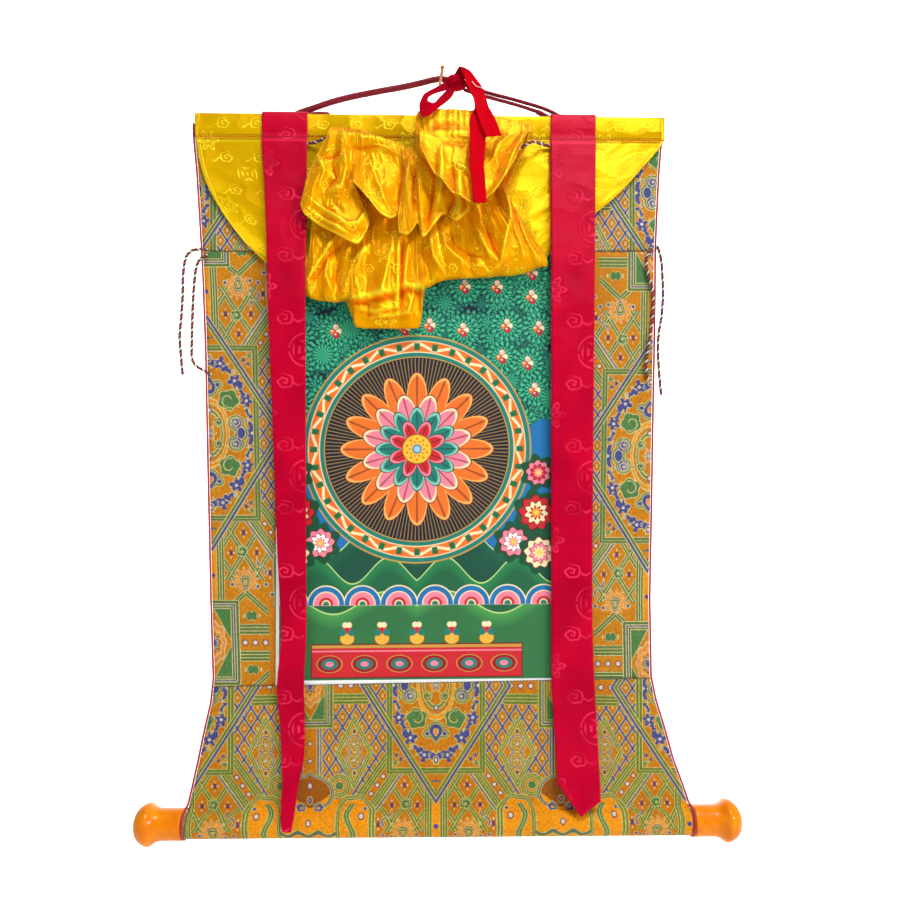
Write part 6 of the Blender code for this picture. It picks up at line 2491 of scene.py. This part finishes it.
@dataclass
class Bow:
    """The red ribbon bow: a knot, one loop and two tails."""

    thickness: float = 0.7
    knot_centre: Point = (15.6, -10.6, -1.1)
    knot_size: Point = (11.2, 8.4, 7.8)
    # Each groove of the knot lies where across * x + up * z + shift is 0. These are across, up, shift, and
    # the groove's width and depth.
    knot_grooves: tuple = (
        (-0.55, 1.0, -0.16, 0.10, 1.0), (1.0, -0.9, -0.45, 0.10, 1.0), (-0.35, 1.0, 0.42, 0.08, 0.8),
    )
    # Loop: outer x and height, inner x and height, and depth, along it
    loop: tuple = (
        (6.8, -0.8, 10.4, -8.2, -14.0), (0.4, -6.4, 4.0, -12.4, -17.0), (-6.4, -12.4, -3.6, -16.8, -21.0),
        (-15.0, -20.2, -10.0, -22.8, -26.0), (-19.0, -30.0, -11.6, -28.0, -30.5),
        (-20.0, -39.0, -11.2, -32.0, -34.4), (-16.8, -48.0, -8.8, -34.4, -36.6),
        (-9.6, -46.4, -6.8, -34.4, -36.0), (-3.2, -39.4, -4.4, -32.0, -33.0),
        (4.2, -31.2, -1.2, -25.6, -28.0), (11.2, -21.6, 2.8, -18.0, -21.4), (15.4, -11.2, 8.4, -8.8, -15.0),
    )
    # Tails: left x and height, right x and height, and depth, down each one
    tail_short: tuple = (
        (12.4, 3.2, 24.4, -2.6, -12.5), (15.4, 7.4, 25.4, 2.4, -14.0), (18.6, 11.8, 24.8, 8.4, -15.5),
        (19.6, 12.2, 24.8, 10.8, -17.5), (21.8, 6.8, 27.2, 8.4, -19.5), (24.0, 1.6, 30.8, 5.0, -21.5),
        (25.8, -6.8, 36.4, -4.0, -24.0), (29.4, -18.0, 42.2, -15.0, -28.4), (32.8, -31.6, 44.8, -29.6, -38.0),
        (33.2, -47.8, 46.6, -46.6, -52.4), (35.0, -53.6, 49.6, -52.8, -53.8),
        (38.6, -64.8, 54.4, -64.0, -55.2), (43.6, -77.6, 58.8, -76.0, -56.4),
    )
    tail_long: tuple = (
        (23.4, -3.6, 30.4, -1.4, -14.0), (29.6, -13.8, 39.2, -10.8, -20.0), (34.0, -26.0, 45.6, -24.0, -28.0),
        (33.4, -44.8, 45.2, -43.6, -48.6), (30.4, -53.2, 44.4, -52.4, -51.6),
        (28.0, -59.2, 43.6, -59.2, -52.8), (28.6, -70.2, 44.0, -70.4, -53.6),
        (28.4, -86.4, 43.2, -86.4, -54.8), (28.0, -104.2, 42.0, -104.0, -55.6),
        (30.0, -121.6, 43.2, -121.6, -56.2), (31.6, -140.0, 44.4, -139.8, -56.6),
    )

    # A thread that has ravelled out of the short tail's edge
    ravelled: tuple = (
        (32.2, -26.6, -8.1), (34.7, -28.0, -12.4), (37.6, -29.4, -14.8), (40.5, -30.2, -16.0),
        (43.8, -31.4, -18.3),
    )
    # How much painted shade, laid as a deeper crimson, each piece has: shares of its length, and how much
    # there
    drawn: dict = field(default_factory=lambda: {
        "tie_loop": ((0.0, 1.0), (0.35, 0.55), (0.6, 0.45), (1.0, 0.9)),
        "tie_tail_short": ((0.0, 1.0), (0.12, 0.8), (0.2, 0.15), (1.0, 0.0)),
        "tie_tail_long": ((0.0, 1.0), (0.3, 0.7), (0.42, 0.1), (1.0, 0.0)),
    })

    def build(self) -> None:
        """Makes the knot, the loop and the tails. They stand for the solid bow together."""
        finish = CottonTape("red_tie", dye(214, 0, 16), dye(146, 0, 30)).material()
        knot = self._knot(finish)
        settle(knot, "red_tie", ["tie_bow"])
        pieces = {
            "tie_loop": self._ribbon(self.loop), "tie_tail_short": self._ribbon(self.tail_short),
            "tie_tail_long": self._ribbon(self.tail_long),
        }
        pale = Thread("ravelled_thread", dye(236, 226, 220), dye(200, 120, 120)).material()
        ravelled, _ = round_cord("tie_ravelled_thread", self.ravelled, 0.9, pale, step=0.8, around=6)
        settle(ravelled, "red_tie")
        for name, grid in pieces.items():
            lengths = tape_lengths(grid)
            across = np.linspace(0, 15.0, grid.shape[1])[None, :] * np.ones((grid.shape[0], 1))
            cloth = np.stack([across, lengths], axis=-1) * MM
            obj = sheet_object(name, grid, cloth, self.thickness, finish)
            # Painted shade down the piece, deepest where it leaves the knot
            share, drawn = np.array(self.drawn[name]).T
            mark(obj, "drawn", np.interp(lengths / lengths[-1], share, drawn))
            settle(obj, "red_tie", ["tie_bow"])
            declare_sheet(grid)

    def _knot(self, finish: Finish) -> Piece:
        """The knot: a ball with three lumps round its rim and grooves where the ribbon crosses itself.

        Args:
            finish: Its material.

        Returns:
            The knot.
        """
        around, rings = 64, 40
        lean = np.linspace(0.06, math.pi - 0.06, rings)
        turn = np.linspace(0, 2 * math.pi, around, endpoint=False)
        x = np.sin(lean)[:, None] * np.cos(turn)
        z = np.sin(lean)[:, None] * np.sin(turn)
        y = np.cos(lean)[:, None] * np.ones(around)
        lump = 1.0 + 0.06 * np.cos(3 * np.arctan2(z, x) + 1.0) * (1 - y * y)
        groove = sum(
            depth * np.exp(-(((across * x + up * z + shift) / wide) ** 2))
            for across, up, shift, wide, depth in self.knot_grooves
        )
        lump = lump - 0.12 * groove - 0.025 * np.cos(9 * (z - 0.6 * x))
        size, centre = np.array(self.knot_size) - 0.3, np.array(self.knot_centre)
        points = np.stack([x, -y, z], axis=-1) * lump[..., None] * size + centre
        faces = tube_faces(rings, around)
        spread = points.reshape(-1, 3)[:, ::2] * MM
        corners = spread[np.concatenate(faces)]
        obj = make_object("tie_knot", points.reshape(-1, 3), faces, corners, finish)
        # Painted shade over the knot, deepest in its grooves
        mark(obj, "drawn", np.clip(0.55 + 0.45 * groove, 0, 1))
        return obj

    def _ribbon(self, table: Sequence) -> Array:
        """The loop or a tail between its two edges, a little hollow across.

        Args:
            table: Its table.

        Returns:
            Its grid.
        """
        rows = smooth_route(table, 90)
        share = np.linspace(0, 1, 13)[None, :]
        x = rows[:, :1] * (1 - share) + rows[:, 2:3] * share
        z = rows[:, 1:2] * (1 - share) + rows[:, 3:4] * share
        hollow = 0.5 * np.cos(math.pi * (share - 0.5)) * np.sin(np.linspace(0, math.pi, len(rows)))[:, None]
        y = rows[:, 4:5] + hollow
        return np.stack([x, y, z], axis=-1)


@dataclass
class Nail:
    """The nail in the wall, tilted up a little so that the cord stays on it, and leaning to the right."""

    tilt: float = math.radians(16.0)
    lean: float = math.radians(6.5)
    profile: tuple = (
        (0.2, 0.0), (0.2, 1.6), (24.4, 1.6), (25.0, 2.0), (25.8, 2.1), (26.3, 1.6), (26.5, 0.0),
    )

    def build(self) -> None:
        """Makes the nail as a turned piece about its tilted axis."""
        finish = WornBrass().material()
        level = math.cos(self.tilt)
        axis = (level * math.sin(self.lean), -level * math.cos(self.lean), math.sin(self.tilt))
        obj = turned_object("nail_shank", self.profile, (0, 0, 0), axis, finish, 32)
        settle(obj, "nail_metal", ["nail"])


@dataclass
class Roller:
    """The wooden rod and batten, which keep their solids, and the two turned knobs."""

    outline: Outline
    # Knob: distance along the rod from its middle, and radius there
    profile: tuple = (
        (252.0, 0.0), (252.0, 15.2), (252.5, 15.5), (271.0, 15.4), (275.5, 15.9), (279.5, 17.6),
        (283.0, 20.2), (285.2, 20.9), (287.6, 20.5), (291.5, 18.6), (295.4, 15.2), (298.2, 10.6),
        (299.6, 5.4), (300.0, 0.0),
    )

    def build(self) -> None:
        """Dresses the rod and the batten, and makes the knobs."""
        wood = BareWood().material()
        for name in ("bottom_rod", "top_batten"):
            node = frame["nodes"][name]
            node.data.materials.clear()
            node.data.materials.append(wood)
        lacquer = Lacquer().material()
        body = np.array(self.profile[2:])
        smooth = smooth_route(body, 60)
        profile = np.concatenate([self.profile[:2], smooth])
        for side in Side:
            name = f"knob_{side.name.lower()}"
            centre = (0, self.outline.rod_y, self.outline.rod_z)
            obj = turned_object(f"{name}_lacquer", profile, centre, (side.value, 0, 0), lacquer, 72)
            settle(obj, "orange_lacquer", [name])


# ---------------------------------------------------------------- studio


@dataclass
class Studio:
    """The camera at the photograph's angle, soft light, and a pale floor that curves up behind."""

    camera_place: Point = (-0.0046, -0.795, -0.4483)
    camera_turn: float = -1.1
    lens: float = 31.2
    shift: float = 0.0867
    floor_z: float = -1.05
    back_y: float = 1.5
    bend: float = 0.7
    sky: float = 0.24
    # Each lamp: name, place, what it points at, diameter in metres and power
    lamps: tuple = (
        ("top", (0.7, -1.7, 2.5), (0.0, 0.2, -0.7), 1.5, 88.0),
        ("key", (2.1, -1.7, 0.3), (0.0, 0.0, -0.4), 0.5, 30.0),
        ("fill", (-1.9, -1.5, -0.3), (0.0, 0.0, -0.4), 1.2, 5.0),
        ("backdrop", (0.0, 0.5, 0.1), (0.0, 1.5, 0.1), 1.0, 46.0),
    )

    def build(self) -> None:
        """Makes the camera, the lights and the floor."""
        for name in ("Cube", "Light", "Camera"):
            if name in bpy.data.objects:
                bpy.data.objects.remove(bpy.data.objects[name])
        self._camera()
        self._lights()
        self._floor()

    def _camera(self) -> None:
        """The camera, level, with a small rise of the lens and no depth of field."""
        data = bpy.data.cameras.new("camera")
        data.lens, data.sensor_width, data.shift_y = self.lens, 36.0, self.shift
        data.clip_start, data.clip_end = 0.02, 30.0
        camera = bpy.data.objects.new("camera", data)
        camera.location = self.camera_place
        camera.rotation_euler = (math.pi / 2, 0.0, math.radians(self.camera_turn))
        bpy.context.scene.collection.objects.link(camera)
        bpy.context.scene.camera = camera

    def _lights(self) -> None:
        """A pale surrounding, a soft key light from the upper right, a fill and a light on the backdrop."""
        scene = bpy.context.scene
        scene.view_settings.view_transform = "Standard"
        world = bpy.data.worlds.new("surroundings")
        world.use_nodes = True
        sky = world.node_tree.nodes["Background"]
        sky.inputs["Color"].default_value = (1.0, 1.0, 1.0, 1.0)
        sky.inputs["Strength"].default_value = self.sky
        scene.world = world
        for name, place, aim, size, power in self.lamps:
            data = bpy.data.lights.new(name, "AREA")
            data.shape = "DISK"
            data.size, data.energy = size, power
            light = bpy.data.objects.new(name, data)
            light.location = place
            way = Vector(aim) - Vector(place)
            light.rotation_euler = way.to_track_quat("-Z", "Y").to_euler()
            light.visible_camera = False
            scene.collection.objects.link(light)

    def _floor(self) -> None:
        """The floor, level in front and curved up behind: a section of depth and height, carried along X."""
        arc = np.radians(np.linspace(-90, 0, 24))
        centre = np.array((self.back_y - self.bend, self.floor_z + self.bend))
        curve = centre + self.bend * np.column_stack([np.cos(arc), np.sin(arc)])
        section = np.concatenate([[(-4.0, self.floor_z)], curve, [(self.back_y, 3.0)]]) / MM
        x = np.array((4.0, -4.0)) / MM
        grid = np.stack([
            np.broadcast_to(x[None, :], (len(section), 2)), np.repeat(section[:, :1], 2, 1),
            np.repeat(section[:, 1:], 2, 1),
        ], axis=-1)
        paint = Paint("floor")
        paint.start((0.96, 0.96, 0.96))
        paint.set(Roughness=0.9, Specular_IOR_Level=0.1)
        index = np.arange(len(section) * 2).reshape(-1, 2)
        quads = np.stack([index[:-1, 0], index[:-1, 1], index[1:, 1], index[1:, 0]], axis=-1)
        floor = make_object(
            "floor", grid.reshape(-1, 3), quads.tolist(), np.zeros((quads.size, 2)), paint.done()
        )


def main() -> None:
    """Builds the scene in order: the camera and cords first, then each cloth, the bow, nail and rod."""
    logging.basicConfig(level=logging.INFO, format="%(name)s: %(message)s")
    Studio().build()
    outline = Outline()
    cordage = Cordage(outline)
    cordage.build()
    Mount(outline).build()
    Picture(outline).build()
    SilkCover(outline).build(np.array(cordage.string, float))
    Ribbons(outline).build()
    Bow().build()
    Nail().build()
    Roller(outline).build()


if __name__ == "__main__":
    main()
